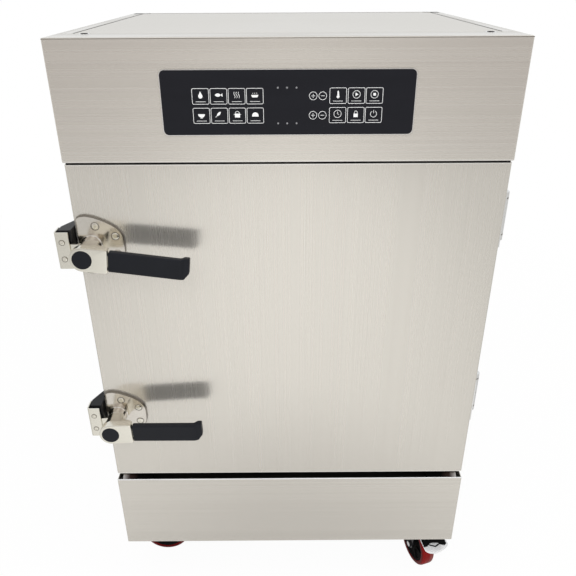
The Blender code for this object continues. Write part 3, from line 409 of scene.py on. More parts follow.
@dataclass(frozen=True)
class WornTread(Coat):
    """Red wheel tread with a greyish band where it runs, and painted shade on both of its sides."""

    pale: Colour = (0.310, 0.009, 0.008)
    deep: Colour = (0.150, 0.003, 0.003)
    worn: Colour = (0.250, 0.080, 0.070)
    side_shade: Colour = (0.085, 0.002, 0.002)
    band: tuple[float, float] = (-0.0145, -0.0030)
    half_width: float = 0.016

    def paint(self, sheet: ShaderSheet) -> None:
        """Lay the red, its wear and the painted shade of its sides on a sheet.

        Args:
            sheet: The material's node tree.
        """
        texture = sheet.noise((700.0,) * 3, 3.0)
        scuff = sheet.noise((260.0, 60.0, 260.0), 2.0)
        red = sheet.blend(texture * 0.4 + scuff * 0.6, self.deep, self.pale)
        across = sheet.own_axis("Y", self.half_width)
        low, high = ((edge / self.half_width + 1.0) / 2 for edge in self.band)
        stops = [(low - 0.04, BLACK), (low + 0.04, WHITE), (high - 0.05, WHITE),
                 (high + 0.05, BLACK)]
        wear = Channel(sheet, sheet.ramp(across, stops)) * (scuff * 0.7 + 0.4)
        # Painted shade darkens both sides of the tread.
        stops = [(0.03, WHITE), (0.09, BLACK), (0.91, BLACK), (0.97, WHITE)]
        sides = Channel(sheet, sheet.ramp(across, stops))
        worn = sheet.blend(wear, red, self.worn)
        sheet.finish(
            Base_Color=sheet.blend(sides * 0.85, worn, self.side_shade),
            Roughness=0.30 + texture * 0.10,
            Normal=sheet.bump(texture, 0.00008, 0.45),
            Specular_IOR_Level=0.10,
        )


@dataclass(frozen=True)
class EndLitSheet(Coat):
    """Sheet with painted shade in its middle and painted light towards both of its ends."""

    lit_end: float = 0.3625
    run: float = 0.060
    # Painted shade that turns to painted light near each end.
    rise: Stops = (
        (0.10, (0.002, 0.002, 0.002)), (0.40, (0.045, 0.028, 0.024)),
        (0.55, (0.45, 0.43, 0.42)), (0.68, (0.99, 0.99, 0.985)),
    )

    def paint(self, sheet: ShaderSheet) -> None:
        """Lay the painted shade and the painted light on a sheet.

        Args:
            sheet: The material's node tree.
        """
        half = self.run / self.lit_end / 2
        stops = [(half * (1.0 - place), colour) for place, colour in reversed(self.rise)]
        stops += [(1.0 - half * (1.0 - place), colour) for place, colour in self.rise]
        tone = sheet.ramp(sheet.own_axis("X", self.lit_end), stops)
        grain = sheet.noise(Grain.ACROSS.scaled(900.0), 1.0)
        sheet.finish(
            Base_Color=sheet.blend(grain * 0.12, tone, (0.02, 0.02, 0.02)),
            Metallic=1.0,
            Roughness=0.14 + grain * 0.08,
            Normal=sheet.bump(grain, 0.00005, 0.2),
        )


@dataclass(frozen=True)
class Foam(Coat):
    """Cut polyurethane foam with open cells."""

    pale: Colour = (0.74, 0.68, 0.47)
    deep: Colour = (0.55, 0.47, 0.28)

    def paint(self, sheet: ShaderSheet) -> None:
        """Lay the cells on a sheet.

        Args:
            sheet: The material's node tree.
        """
        inputs = {"Vector": sheet.place((520.0,) * 3), "Scale": 1.0}
        cells = Channel(sheet, sheet.node("TexVoronoi", {}, inputs).outputs["Distance"])
        tone = cells * 0.7 + sheet.noise((16.0,) * 3, 3.0) * 0.3
        sheet.finish(
            Base_Color=sheet.blend(tone, self.deep, self.pale),
            Roughness=0.92,
            Normal=sheet.bump(cells, 0.0006, 0.6),
        )


@dataclass(frozen=True)
class CircuitBoard(Coat):
    """Green lacquered board with copper tracks under the lacquer."""

    lacquer: Colour = (0.012, 0.11, 0.04)
    track: Colour = (0.03, 0.24, 0.09)

    def paint(self, sheet: ShaderSheet) -> None:
        """Lay the tracks on a sheet.

        Args:
            sheet: The material's node tree.
        """
        settings = {"offset": 0.35, "squash": 0.8, "squash_frequency": 3}
        inputs = {
            "Vector": sheet.place((1.0, 1.0, 1.0), (math.pi / 2, 0.0, 0.0)), "Scale": 60.0,
            "Mortar Size": 0.035, "Mortar Smooth": 0.2, "Brick Width": 0.9, "Row Height": 0.18,
        }
        tracks = Channel(sheet, sheet.node("TexBrick", settings, inputs).outputs["Fac"])
        grain = sheet.noise((900.0,) * 3, 2.0)
        sheet.finish(
            Base_Color=sheet.blend(tracks, self.lacquer, self.track),
            Roughness=0.28 + grain * 0.15,
            Normal=sheet.bump(tracks + grain * 0.1, 0.00006, 0.5),
            Coat_Weight=0.4,
            Coat_Roughness=0.1,
        )


class Finish(Enum):
    """Every finish of the cabinet."""

    DOOR_STEEL = BrushedSteel("door_steel", Grain.UPRIGHT)
    SIDE_STEEL = BrushedSteel("side_steel", Grain.UPRIGHT)
    FASCIA_STEEL = BrushedSteel("fascia_steel", Grain.ACROSS, turned_streaks=True, contrast=2.3)
    TOP_STEEL = BrushedSteel("top_steel", Grain.ACROSS, roughness=0.26, anisotropy=0.2)
    INNER_STEEL = BrushedSteel(
        "inner_steel", Grain.ACROSS, (0.66, 0.65, 0.62), (0.56, 0.55, 0.52), 0.30, 0.2)
    # Near-black steel for seams, also used as painted shade in the corner reliefs and the drip
    # trough.
    SEAM_AND_SHADE_STEEL = BrushedSteel(
        "seam_and_painted_shade_steel", Grain.ACROSS, (0.060, 0.058, 0.054), (0.035, 0.034, 0.032), 0.40, 0.2)
    # Pale zinc plate, also used as a painted highlight along the plinth's hem.
    ZINC_AND_HIGHLIGHT = BrushedSteel(
        "zinc_plate_and_painted_highlight", Grain.ACROSS, (0.97, 0.975, 0.98), (0.90, 0.905, 0.91), 0.20, 0.0,
        scatter=0.65)
    # Pale steel for painted highlights along folded edges.
    EDGE_HIGHLIGHT_STEEL = BrushedSteel(
        "painted_edge_highlight_steel", Grain.ACROSS, (0.90, 0.87, 0.82), (0.85, 0.82, 0.77), 0.24, 0.2)
    # Painted light at both ends of the trough's tabs, painted shade between them.
    END_LIGHT = EndLitSheet("trough_painted_end_light")
    GALVANISED = cast("galvanised_steel", (0.62, 0.63, 0.64), (0.44, 0.45, 0.47), 0.34)
    CASTING = cast("satin_casting", (0.88, 0.835, 0.765), (0.70, 0.655, 0.585), 0.09)
    LEVER_CASTING = cast("lever_casting", (0.97, 0.935, 0.835), (0.85, 0.815, 0.715), 0.14)
    # Pale casting of the hinges, also used as a painted highlight round the overlay.
    HINGE_CASTING_AND_HIGHLIGHT = cast("hinge_casting_and_painted_highlight", (0.97, 0.965, 0.95), (0.90, 0.895, 0.88), 0.20)
    SCREW_STEEL = cast("screw_steel", (0.70, 0.69, 0.66), (0.50, 0.49, 0.47), 0.20)
    # Dark steel for collars and trim, also used for painted shade in rims, wells, rings and edge
    # lines.
    DARK_STEEL_AND_SHADE = cast("dark_steel_and_painted_shade", (0.36, 0.33, 0.29), (0.24, 0.22, 0.19), 0.24)
    BRASS = cast("brass", (0.78, 0.58, 0.26), (0.58, 0.40, 0.15), 0.24)
    CHROME = Mottled(
        "chrome_plate", (0.97, 0.97, 0.98), (0.86, 0.86, 0.87), 0.07, PLATED_LAYERS,
        depth=0.00006, strength=0.25, fixed={"Metallic": 1.0})
    GRIP = moulded(
        "grip_plastic", (0.010, 0.011, 0.015), (0.006, 0.007, 0.010), 0.37, 1300.0, gloss=0.22)
    BLACK_PLASTIC = moulded(
        "black_plastic", (0.012, 0.012, 0.013), (0.006, 0.006, 0.007), 0.33, gloss=0.3)
    # Black rubber, also used as painted shade on the pedals, in the gap over the door and in the
    # front screws.
    BLACK_RUBBER_AND_SHADE = moulded(
        "black_rubber_and_painted_shade", (0.006, 0.006, 0.006), (0.003, 0.003, 0.003), 0.70, 900.0, gloss=0.1)
    BLACK_PAINT = moulded(
        "black_paint", (0.014, 0.014, 0.015), (0.008, 0.008, 0.009), 0.25, 260.0, 0.0001, 0.3)
    DIPPED_RED = moulded(
        "dipped_red", (0.50, 0.030, 0.020), (0.36, 0.016, 0.012), 0.23, 350.0, 0.00012, 0.4)
    SILICONE = moulded(
        "silicone_seal", (0.36, 0.36, 0.35), (0.26, 0.26, 0.25), 0.57, 900.0, 0.0001)
    TREAD = WornTread("red_tread")
    FOAM = Foam("foam_filling")
    BOARD = CircuitBoard("control_board_lacquer")
    TOUCH_FACE = Mottled(
        "touch_face", (0.0110, 0.0115, 0.0160), (0.0070, 0.0074, 0.0105), 0.30,
        OVERLAY_LAYERS, fixed={"Specular_IOR_Level": 0.22})
    INK = printed("white_ink", (0.96, 0.96, 0.95), (0.84, 0.845, 0.85))
    LAMP_INK = printed("lamp_window", (0.30, 0.30, 0.31), (0.20, 0.20, 0.21))


@lru_cache(maxsize=None)
def material_of(finish: Finish) -> bpy.types.Material:
    """The material of a finish, built once."""
    return finish.value.material()


# Mesh building

def arc(centre: Point, radius: float, start: float, end: float, steps: int) -> list[Point]:
    """Points of an arc with both ends.

    Args:
        centre: Middle of the circle.
        radius: Its radius.
        start: First angle in degrees.
        end: Last angle in degrees.
        steps: Number of chords.

    Returns:
        The points in order.
    """
    angles = [math.radians(start + (end - start) * step / steps) for step in range(steps + 1)]
    return [(centre[0] + radius * math.cos(a), centre[1] + radius * math.sin(a)) for a in angles]


def circle(centre: Point, radius: float, steps: int) -> list[Point]:
    """Points of a circle, counterclockwise."""
    return arc(centre, radius, 0.0, 360.0, steps)[:-1]


def span(left: float, right: float, foot: float, top: float) -> list[Point]:
    """Corners of a rectangle between two sides and two heights."""
    return [(left, foot), (right, foot), (right, top), (left, top)]


def rectangle(half_width: float, half_height: float) -> list[Point]:
    """Corners of a rectangle about the origin."""
    return span(-half_width, half_width, -half_height, half_height)


def rounded(outline: Sequence[Point], radius: float, steps: int = 6) -> list[Point]:
    """Round every corner of a closed outline.

    Args:
        outline: Its corners.
        radius: Radius of each corner.
        steps: Chords in each arc.

    Returns:
        The rounded outline.
    """
    corners = [Vector(point) for point in outline]
    points: list[Point] = []
    for index, corner in enumerate(corners):
        back = (corners[index - 1] - corner).normalized()
        ahead = (corners[(index + 1) % len(corners)] - corner).normalized()
        half = back.angle(ahead) / 2
        middle = corner + (back + ahead).normalized() * (radius / math.sin(half))
        reach = radius / math.tan(half)
        ends = [corner + way * reach - middle for way in (back, ahead)]
        start, end = (math.degrees(math.atan2(point.y, point.x)) for point in ends)
        sweep = (end - start + 180.0) % 360.0 - 180.0
        points += arc(tuple(middle), radius, start, start + sweep, steps)
    return points


def placed(
    name: str, data: bpy.types.ID, place: Matrix = Matrix.Identity(4)
) -> bpy.types.Object:
    """Put a mesh, a lamp or a camera into the scene.

    Args:
        name: Name of the object.
        data: What it shows.
        place: Its matrix.

    Returns:
        The new object.
    """
    item = bpy.data.objects.new(name, data)
    bpy.context.collection.objects.link(item)
    item.matrix_world = place
    return item


def scaled(outline: Iterable[Point], middle: Point, scale: float = 1.0) -> list[Point]:
    """An outline enlarged about the origin and moved to a middle."""
    return [(middle[0] + scale * first, middle[1] + scale * second) for first, second in outline]


def moved(x: float, y: float, z: float) -> Matrix:
    """The matrix that moves by three distances."""
    return Matrix.Translation((x, y, z))


def mirrored(side: Sequence[Point]) -> list[Point]:
    """A row of points and its mirror image in the second coordinate, as one loop."""
    return [*side, *((first, -second) for first, second in reversed(side))]


class Draft:
    """A mesh in the making, whose depth runs along -Y, out of the door."""

    def __init__(self) -> None:
        """Start empty."""
        self.bm = bmesh.new()

    def ring(self, points: Iterable[Sequence[float]]) -> list[bmesh.types.BMVert]:
        """Add a row of vertices."""
        return [self.bm.verts.new(point) for point in points]

    def skin(self, rings: Sequence[list], closed: bool = False) -> "Draft":
        """Bridge rings of equal length.

        Args:
            rings: Rows of vertices, or of one vertex where the shape ends in a point.
            closed: Whether the last ring meets the first.

        Returns:
            This draft.
        """
        pairs = list(zip(rings, rings[1:]))
        if closed:
            pairs.append((rings[-1], rings[0]))
        for low, high in pairs:
            count = max(len(low), len(high))
            for index in range(count):
                after = (index + 1) % count
                corners = [low[index % len(low)], low[after % len(low)]]
                corners += [high[after % len(high)], high[index % len(high)]]
                self.bm.faces.new(list(dict.fromkeys(corners)))
        return self

    def loft(self, rings: Sequence[list]) -> "Draft":
        """Bridge rings of equal length and close both ends.

        Args:
            rings: Rows of vertices.

        Returns:
            This draft.
        """
        for end in (rings[0], rings[-1]):
            self.bm.faces.new(end)
        return self.skin(rings)

    def plate(self, outline: Sequence[Point], near: float, far: float) -> "Draft":
        """Extrude an outline of X and Z between two depths along Y."""
        return self.loft([self.ring((x, y, z) for x, z in outline) for y in (near, far)])

    def turned(self, profile: Sequence[Point], steps: int) -> "Draft":
        """Revolve a profile about the Y axis; one that ends off it goes round a bore.

        Args:
            profile: Radius and Y of each ring; a negative radius is that of a
                hexagon's corners.
            steps: Sides of each ring.

        Returns:
            This draft.
        """
        flat = math.pi / HEXAGON
        angles = [2 * math.pi * step / steps for step in range(steps)]
        rings = []
        for radius, y in profile:
            if radius == 0.0:
                rings.append(self.ring([(0.0, y, 0.0)]))
                continue
            points = []
            for angle in angles:
                reach = radius
                if radius < 0.0:
                    reach = -radius * math.cos(flat) / math.cos(angle % (2 * flat) - flat)
                points.append((reach * math.cos(angle), y, reach * math.sin(angle)))
            rings.append(self.ring(points))
        return self.skin(rings, closed=profile[-1][0] != 0.0)

    def add(self, other: "Draft", place: Matrix = Matrix.Identity(4)) -> "Draft":
        """Take in another draft.

        Args:
            other: The draft to take in, which is used up.
            place: Where it goes.

        Returns:
            This draft.
        """
        bmesh.ops.transform(other.bm, matrix=place, verts=other.bm.verts)
        mesh = other.mesh("passing")
        self.bm.from_mesh(mesh)
        bpy.data.meshes.remove(mesh)
        return self

    def soften(self, width: float, segments: int) -> "Draft":
        """Bevel the edges that are sharper than 30 degrees.

        Args:
            width: Width of the bevel.
            segments: Its segments.

        Returns:
            This draft.
        """
        bmesh.ops.recalc_face_normals(self.bm, faces=self.bm.faces)
        least = math.radians(30.0)
        sharp = [edge for edge in self.bm.edges
                 if len(edge.link_faces) == 2 and edge.calc_face_angle() > least]
        bmesh.ops.bevel(
            self.bm, geom=sharp, offset=width, segments=segments, profile=0.5,
            affect="EDGES", clamp_overlap=True,
        )
        return self

    def mesh(self, name: str) -> bpy.types.Mesh:
        """Make the mesh, which uses the draft up.

        Args:
            name: Name of the mesh.

        Returns:
            The mesh.
        """
        mesh = bpy.data.meshes.new(name)
        self.bm.to_mesh(mesh)
        self.bm.free()
        return mesh

    def piece(
        self, name: str, finish: Finish, body: str, slot: str,
        place: Matrix = Matrix.Identity(4), replaced: Sequence[str] = (),
    ) -> None:
        """Turn the draft into a piece that rides on a body.

        Args:
            name: Name of the piece.
            finish: Its finish.
            body: The body it moves with.
            slot: The record's slot for its finish; not used.
            place: Its matrix in the cabinet's frame.
            replaced: Solid parts that it stands for.
        """
        bmesh.ops.recalc_face_normals(self.bm, faces=self.bm.faces)
        mesh = self.mesh(name)
        mesh.shade_smooth()
        mesh.set_sharp_from_angle(angle=math.radians(38))
        mesh.materials.append(material_of(finish))
        piece = placed(name, mesh, place)
        level = piece.modifiers.new("Even shading", "WEIGHTED_NORMAL")
        level.keep_sharp = True
        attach(piece, body)
        if replaced:
            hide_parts(*replaced)
        LOG.info("%s rides on %s", name, body)


def dress(finish: Finish, *nodes: str) -> None:
    """Give solid parts a finish.

    Args:
        finish: The finish.
        *nodes: Names of the parts.
    """
    for name in nodes:
        slots = frame["nodes"][name].data.materials
        slots.clear()
        slots.append(material_of(finish))
        LOG.info("%s is finished in %s", name, finish.value.name)


def joint(name: str) -> dict:
    """A joint of the frame by its name."""
    return next(item for item in frame["joints"] if item["name"] == name)


def screw_head(radius: float, height: float, socket: float) -> Draft:
    """Low domed screw head with a hex socket, standing on the plane Y = 0.

    Args:
        radius: Radius of the head.
        height: Height of the head.
        socket: Radius across the socket's corners.

    Returns:
        The head, whose top faces -Y.
    """
    profile = [
        (radius, 0.0005), (radius, -height * 0.35), (radius * 0.93, -height * 0.66),
        (radius * 0.74, -height * 0.9), (socket * 1.25, -height), (-socket, -height * 0.97),
        (-socket * 0.96, -height * 0.35), (0.0, -height * 0.22),
    ]
    return Draft().turned(profile, 36)


# Sheet-metal body

@dataclass
class SteelBody:
    """Outer sheets, with their screws, seams, and painted highlights and shade along their folded
    edges.
    """

    front_screw_x: float = 0.3050
    front_screw_behind: float = 0.0605
    rear_screw_x: float = 0.318
    rear_screw_inset: float = 0.009
    screw_ring: Profile = ((0.0056, 0.0004), (0.0084, 0.0004), (0.0080, -0.0003), (0.0058, -0.0005))
    screw_shade_core: Profile = (
        (0.0055, 0.0004), (0.0054, -0.0009), (-0.0017, -0.0010), (-0.0016, -0.0003),
        (0.0, -0.0003),
    )
    shade_ring: Profile = ((0.0061, 0.0004), (0.0100, 0.0004), (0.0098, -0.0005), (0.0062, -0.0005))
    dome: Profile = (
        (0.0060, 0.0004), (0.0058, -0.0006), (0.0036, -0.0010), (-0.0014, -0.0010),
        (-0.0013, 0.0001), (0.0, 0.0001),
    )
    seam_half: float = 0.0007
    seam_start: float = 0.004
    relief_half: float = 0.009
    relief_depth: float = 0.011
    relief_gap: float = 0.001
    lid_hem_half: float = 0.005
    side_gap: float = 0.0003
    hem_height: float = 0.0021
    hem_depth: float = 0.0018
    hem_bevel: float = 0.0006
    # Shorter at each end by, half height, and height from the fascia's foot or top.
    fascia_hem_highlight: Triple = (0.0010, 0.0010, 0.0021)
    fold_shade_line: Triple = (0.0, 0.00045, -0.0016)
    trough_end: float = 0.0108
    tab_length: float = 0.060
    tab_section: Profile = (
        (0.0022, -0.0016), (0.0022, -0.0006), (0.0165, 0.0088), (0.0170, 0.0078),
    )
    back_screw: Triple = (0.0036, 0.0020, 0.00162)
    back_rows: int = 6
    back_margin: float = 0.012

    def build(self) -> None:
        """Dress the sheets and fit their screws and edges."""
        dress(Finish.SIDE_STEEL, "side_panel_left", "side_panel_right", "back_panel")
        dress(Finish.TOP_STEEL, "top_panel")
        dress(Finish.FASCIA_STEEL, "control_fascia", "plinth_panel")
        # The drip trough is near black, as painted shade in the gap under the door.
        dress(Finish.SEAM_AND_SHADE_STEEL, "drip_trough")
        dress(Finish.GALVANISED, "base_frame")
        self._fit_top_screws()
        self._fit_seams()
        self._fit_hem_and_tabs()
        self._fit_fascia_edges()
        self._fit_back_screws()

    def _fit_top_screws(self) -> None:
        """Two sunk screws behind the fascia with black cores of painted shade, and two bright ones
        at the back of the lid with rings of painted shade round them.
        """
        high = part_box("top_panel")[1]
        front = (self.front_screw_x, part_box("control_fascia")[0].y + self.front_screw_behind)
        rear = (self.rear_screw_x, high.y - self.rear_screw_inset)
        for name, finish, slot, (x, y), profile in (
            ("top_screw_rings", Finish.CHROME, "chrome", front, self.screw_ring),
            ("top_screw_shade_cores", Finish.BLACK_RUBBER_AND_SHADE, "black_paint", front, self.screw_shade_core),
            ("lid_screw_shade_rings", Finish.DARK_STEEL_AND_SHADE, "brushed_steel", rear, self.shade_ring),
            ("lid_screws", Finish.CHROME, "chrome", rear, self.dome),
        ):
            pair = Draft()
            for side in SIDES:
                pair.add(Draft().turned(profile, 32), moved(side * x, y, high.z) @ FACE_UP)
            pair.piece(name, finish, "cabinet", slot)

    def _fit_seams(self) -> None:
        """Dark sealed seams between the lid and the side flanges, and corner reliefs dark with
        painted shade.
        """
        low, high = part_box("top_panel")
        back = high.y - self.relief_depth - self.relief_gap
        middle = (low.y + self.seam_start + high.y) / 2
        line = rectangle(self.seam_half, (high.y - low.y - self.seam_start) / 2)
        relief = rectangle(self.relief_half, self.relief_depth)
        seams = Draft()
        for side, x in zip(SIDES, (low.x, high.x)):
            place = moved(x + side * THIN / 2, middle, high.z) @ FACE_UP
            seams.add(Draft().plate(line, THIN, -THIN), place)
            place = moved(x + side * (self.relief_half + self.relief_gap), back, high.z) @ FACE_UP
            seams.add(Draft().plate(relief, THIN, -1.5 * THIN), place)
        # Darker strip along the lid's rear edge.
        hem = rectangle((high.x - low.x) / 2 - 2 * self.relief_half, self.lid_hem_half)
        back = high.y - self.lid_hem_half - self.relief_gap
        place = moved((low.x + high.x) / 2, back, high.z) @ FACE_UP
        Draft().plate(hem, THIN, -THIN).piece(
            "lid_rear_hem", Finish.DARK_STEEL_AND_SHADE, "cabinet", "brushed_steel", place)
        seams.piece("lid_seams", Finish.SEAM_AND_SHADE_STEEL, "cabinet", "brushed_steel")

    def _fit_hem_and_tabs(self) -> None:
        """Painted highlight on the plinth's hem, and tabs with painted light at the ends of the gap
        under the door.
        """
        low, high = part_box("plinth_panel")
        half = high.x - self.side_gap
        hem = Draft().plate(
            span(-half, half, high.z - THIN, high.z + self.hem_height),
            low.y + THIN, low.y + self.hem_depth,
        )
        hem.soften(self.hem_bevel, 3).piece(
            "plinth_hem_highlight", Finish.ZINC_AND_HIGHLIGHT, "cabinet", "brushed_steel")
        tabs = Draft()
        for side in SIDES:
            outer = side * (high.x - self.trough_end)
            tabs.loft([
                tabs.ring([(x, low.y + y, high.z + z) for y, z in self.tab_section])
                for x in (outer - side * self.tab_length, outer)
            ])
        tabs.piece("trough_tabs", Finish.END_LIGHT, "cabinet", "brushed_steel")

    def _fit_fascia_edges(self) -> None:
        """Painted highlight along the fascia's lower hem and a dark line of painted shade and
        reflection along its upper fold.
        """
        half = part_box("plinth_panel")[1].x - self.side_gap
        low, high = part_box("control_fascia")
        for name, finish, level, (short, rise, z) in (
            ("fascia_hem_highlight", Finish.EDGE_HIGHLIGHT_STEEL, low.z, self.fascia_hem_highlight),
            ("fascia_fold_shade_line", Finish.DARK_STEEL_AND_SHADE, high.z, self.fold_shade_line),
        ):
            edge = Draft().plate(rectangle(half - short, rise), low.y - THIN, low.y + THIN)
            edge.piece(name, finish, "cabinet", "brushed_steel", moved(0.0, 0.0, level + z))

    def _fit_back_screws(self) -> None:
        """A row of screws along both edges of the rear sheet."""
        low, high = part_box("back_panel")
        margin = self.back_margin
        step = (high.z - low.z - 4 * margin) / (self.back_rows - 1)
        screws = Draft()
        for row in range(self.back_rows):
            for x in (low.x + margin, high.x - margin):
                place = moved(x, high.y, low.z + 2 * margin + row * step) @ FACE_BACK
                screws.add(screw_head(*self.back_screw), place)
        screws.piece("rear_screws", Finish.SCREW_STEEL, "cabinet", "brushed_steel")


# Touch panel

class Pen(Enum):
    """How the points of a sign are drawn."""

    LINE = "line"
    LOOP = "loop"
    FILL = "fill"


RING = (Pen.LOOP, circle((0.0, 0.0), 0.85, 24))


class Pictogram(Enum):
    """Plain signs on the keys, in units of half a sign."""

    BOWL = (
        (Pen.FILL, arc((0.0, 0.1), 0.8, 180.0, 360.0, 14)),
        (Pen.LINE, [(-0.3, -0.82), (0.3, -0.82)]),
    )
    DROP = ((Pen.FILL, [*arc((0.0, -0.25), 0.5, -215.0, 35.0, 16), (0.0, 0.85)]),)
    STEAM = tuple(
        (Pen.LINE, [(x + 0.14 * math.sin(math.pi * step / 6), -0.7 + 1.4 * step / 12)
                    for step in range(13)])
        for x in (-0.5, 0.0, 0.5)
    )
    POT = (
        (Pen.FILL, span(-0.6, 0.6, -0.7, 0.2)), (Pen.LINE, [(-0.85, 0.0), (-0.6, 0.0)]),
        (Pen.LINE, [(0.6, 0.0), (0.85, 0.0)]), (Pen.LINE, arc((0.0, 0.2), 0.5, 0.0, 180.0, 10)),
    )
    LEAF = (
        (Pen.FILL, arc((0.35, -0.35), 0.98, 90.0, 180.0, 10)[:-1]
         + arc((-0.63, 0.63), 0.98, -90.0, 0.0, 10)[:-1]),
        (Pen.LINE, [(-0.9, -0.65), (-0.55, -0.25)]),
    )
    FISH = (
        (Pen.FILL, arc((-0.15, -0.45), 0.82, 146.0, 34.0, 12)[:-1]
         + arc((-0.15, 0.45), 0.82, -34.0, -146.0, 12)[:-1]),
        (Pen.FILL, [(0.92, 0.42), (0.50, 0.0), (0.92, -0.42)]),
    )
    BREAD = ((Pen.FILL, [*arc((0.0, -0.3), 0.75, 0.0, 180.0, 16), (-0.75, -0.5), (0.75, -0.5)]),)
    TRAY = (
        (Pen.FILL, [(-0.85, 0.0), (-0.6, -0.55), (0.6, -0.55), (0.85, 0.0)]),
        *((Pen.LINE, [(x, 0.3), (x + 0.12, 0.45)]) for x in (-0.5, -0.05, 0.4)),
    )
    THERMOMETER = (
        (Pen.FILL, arc((0.0, -0.5), 0.34, 120.0, 420.0, 16)[:-1]
         + arc((0.0, 0.65), 0.17, 0.0, 180.0, 6)),
    )
    START = (RING, (Pen.FILL, [(-0.25, -0.4), (0.45, 0.0), (-0.25, 0.4)]))
    STOP = (RING, (Pen.FILL, rectangle(0.3, 0.3)))
    CLOCK = (RING, (Pen.LINE, [(0.0, 0.5), (0.0, 0.0), (0.35, -0.2)]))
    LOCK = (
        (Pen.FILL, span(-0.5, 0.5, -0.75, 0.05)),
        (Pen.LINE, [(0.32, 0.05), *arc((0.0, 0.35), 0.32, 0.0, 180.0, 8), (-0.32, 0.05)]),
    )
    POWER = (
        (Pen.LINE, arc((0.0, -0.05), 0.72, 120.0, 420.0, 20)),
        (Pen.LINE, [(0.0, 0.1), (0.0, 0.85)]),
    )


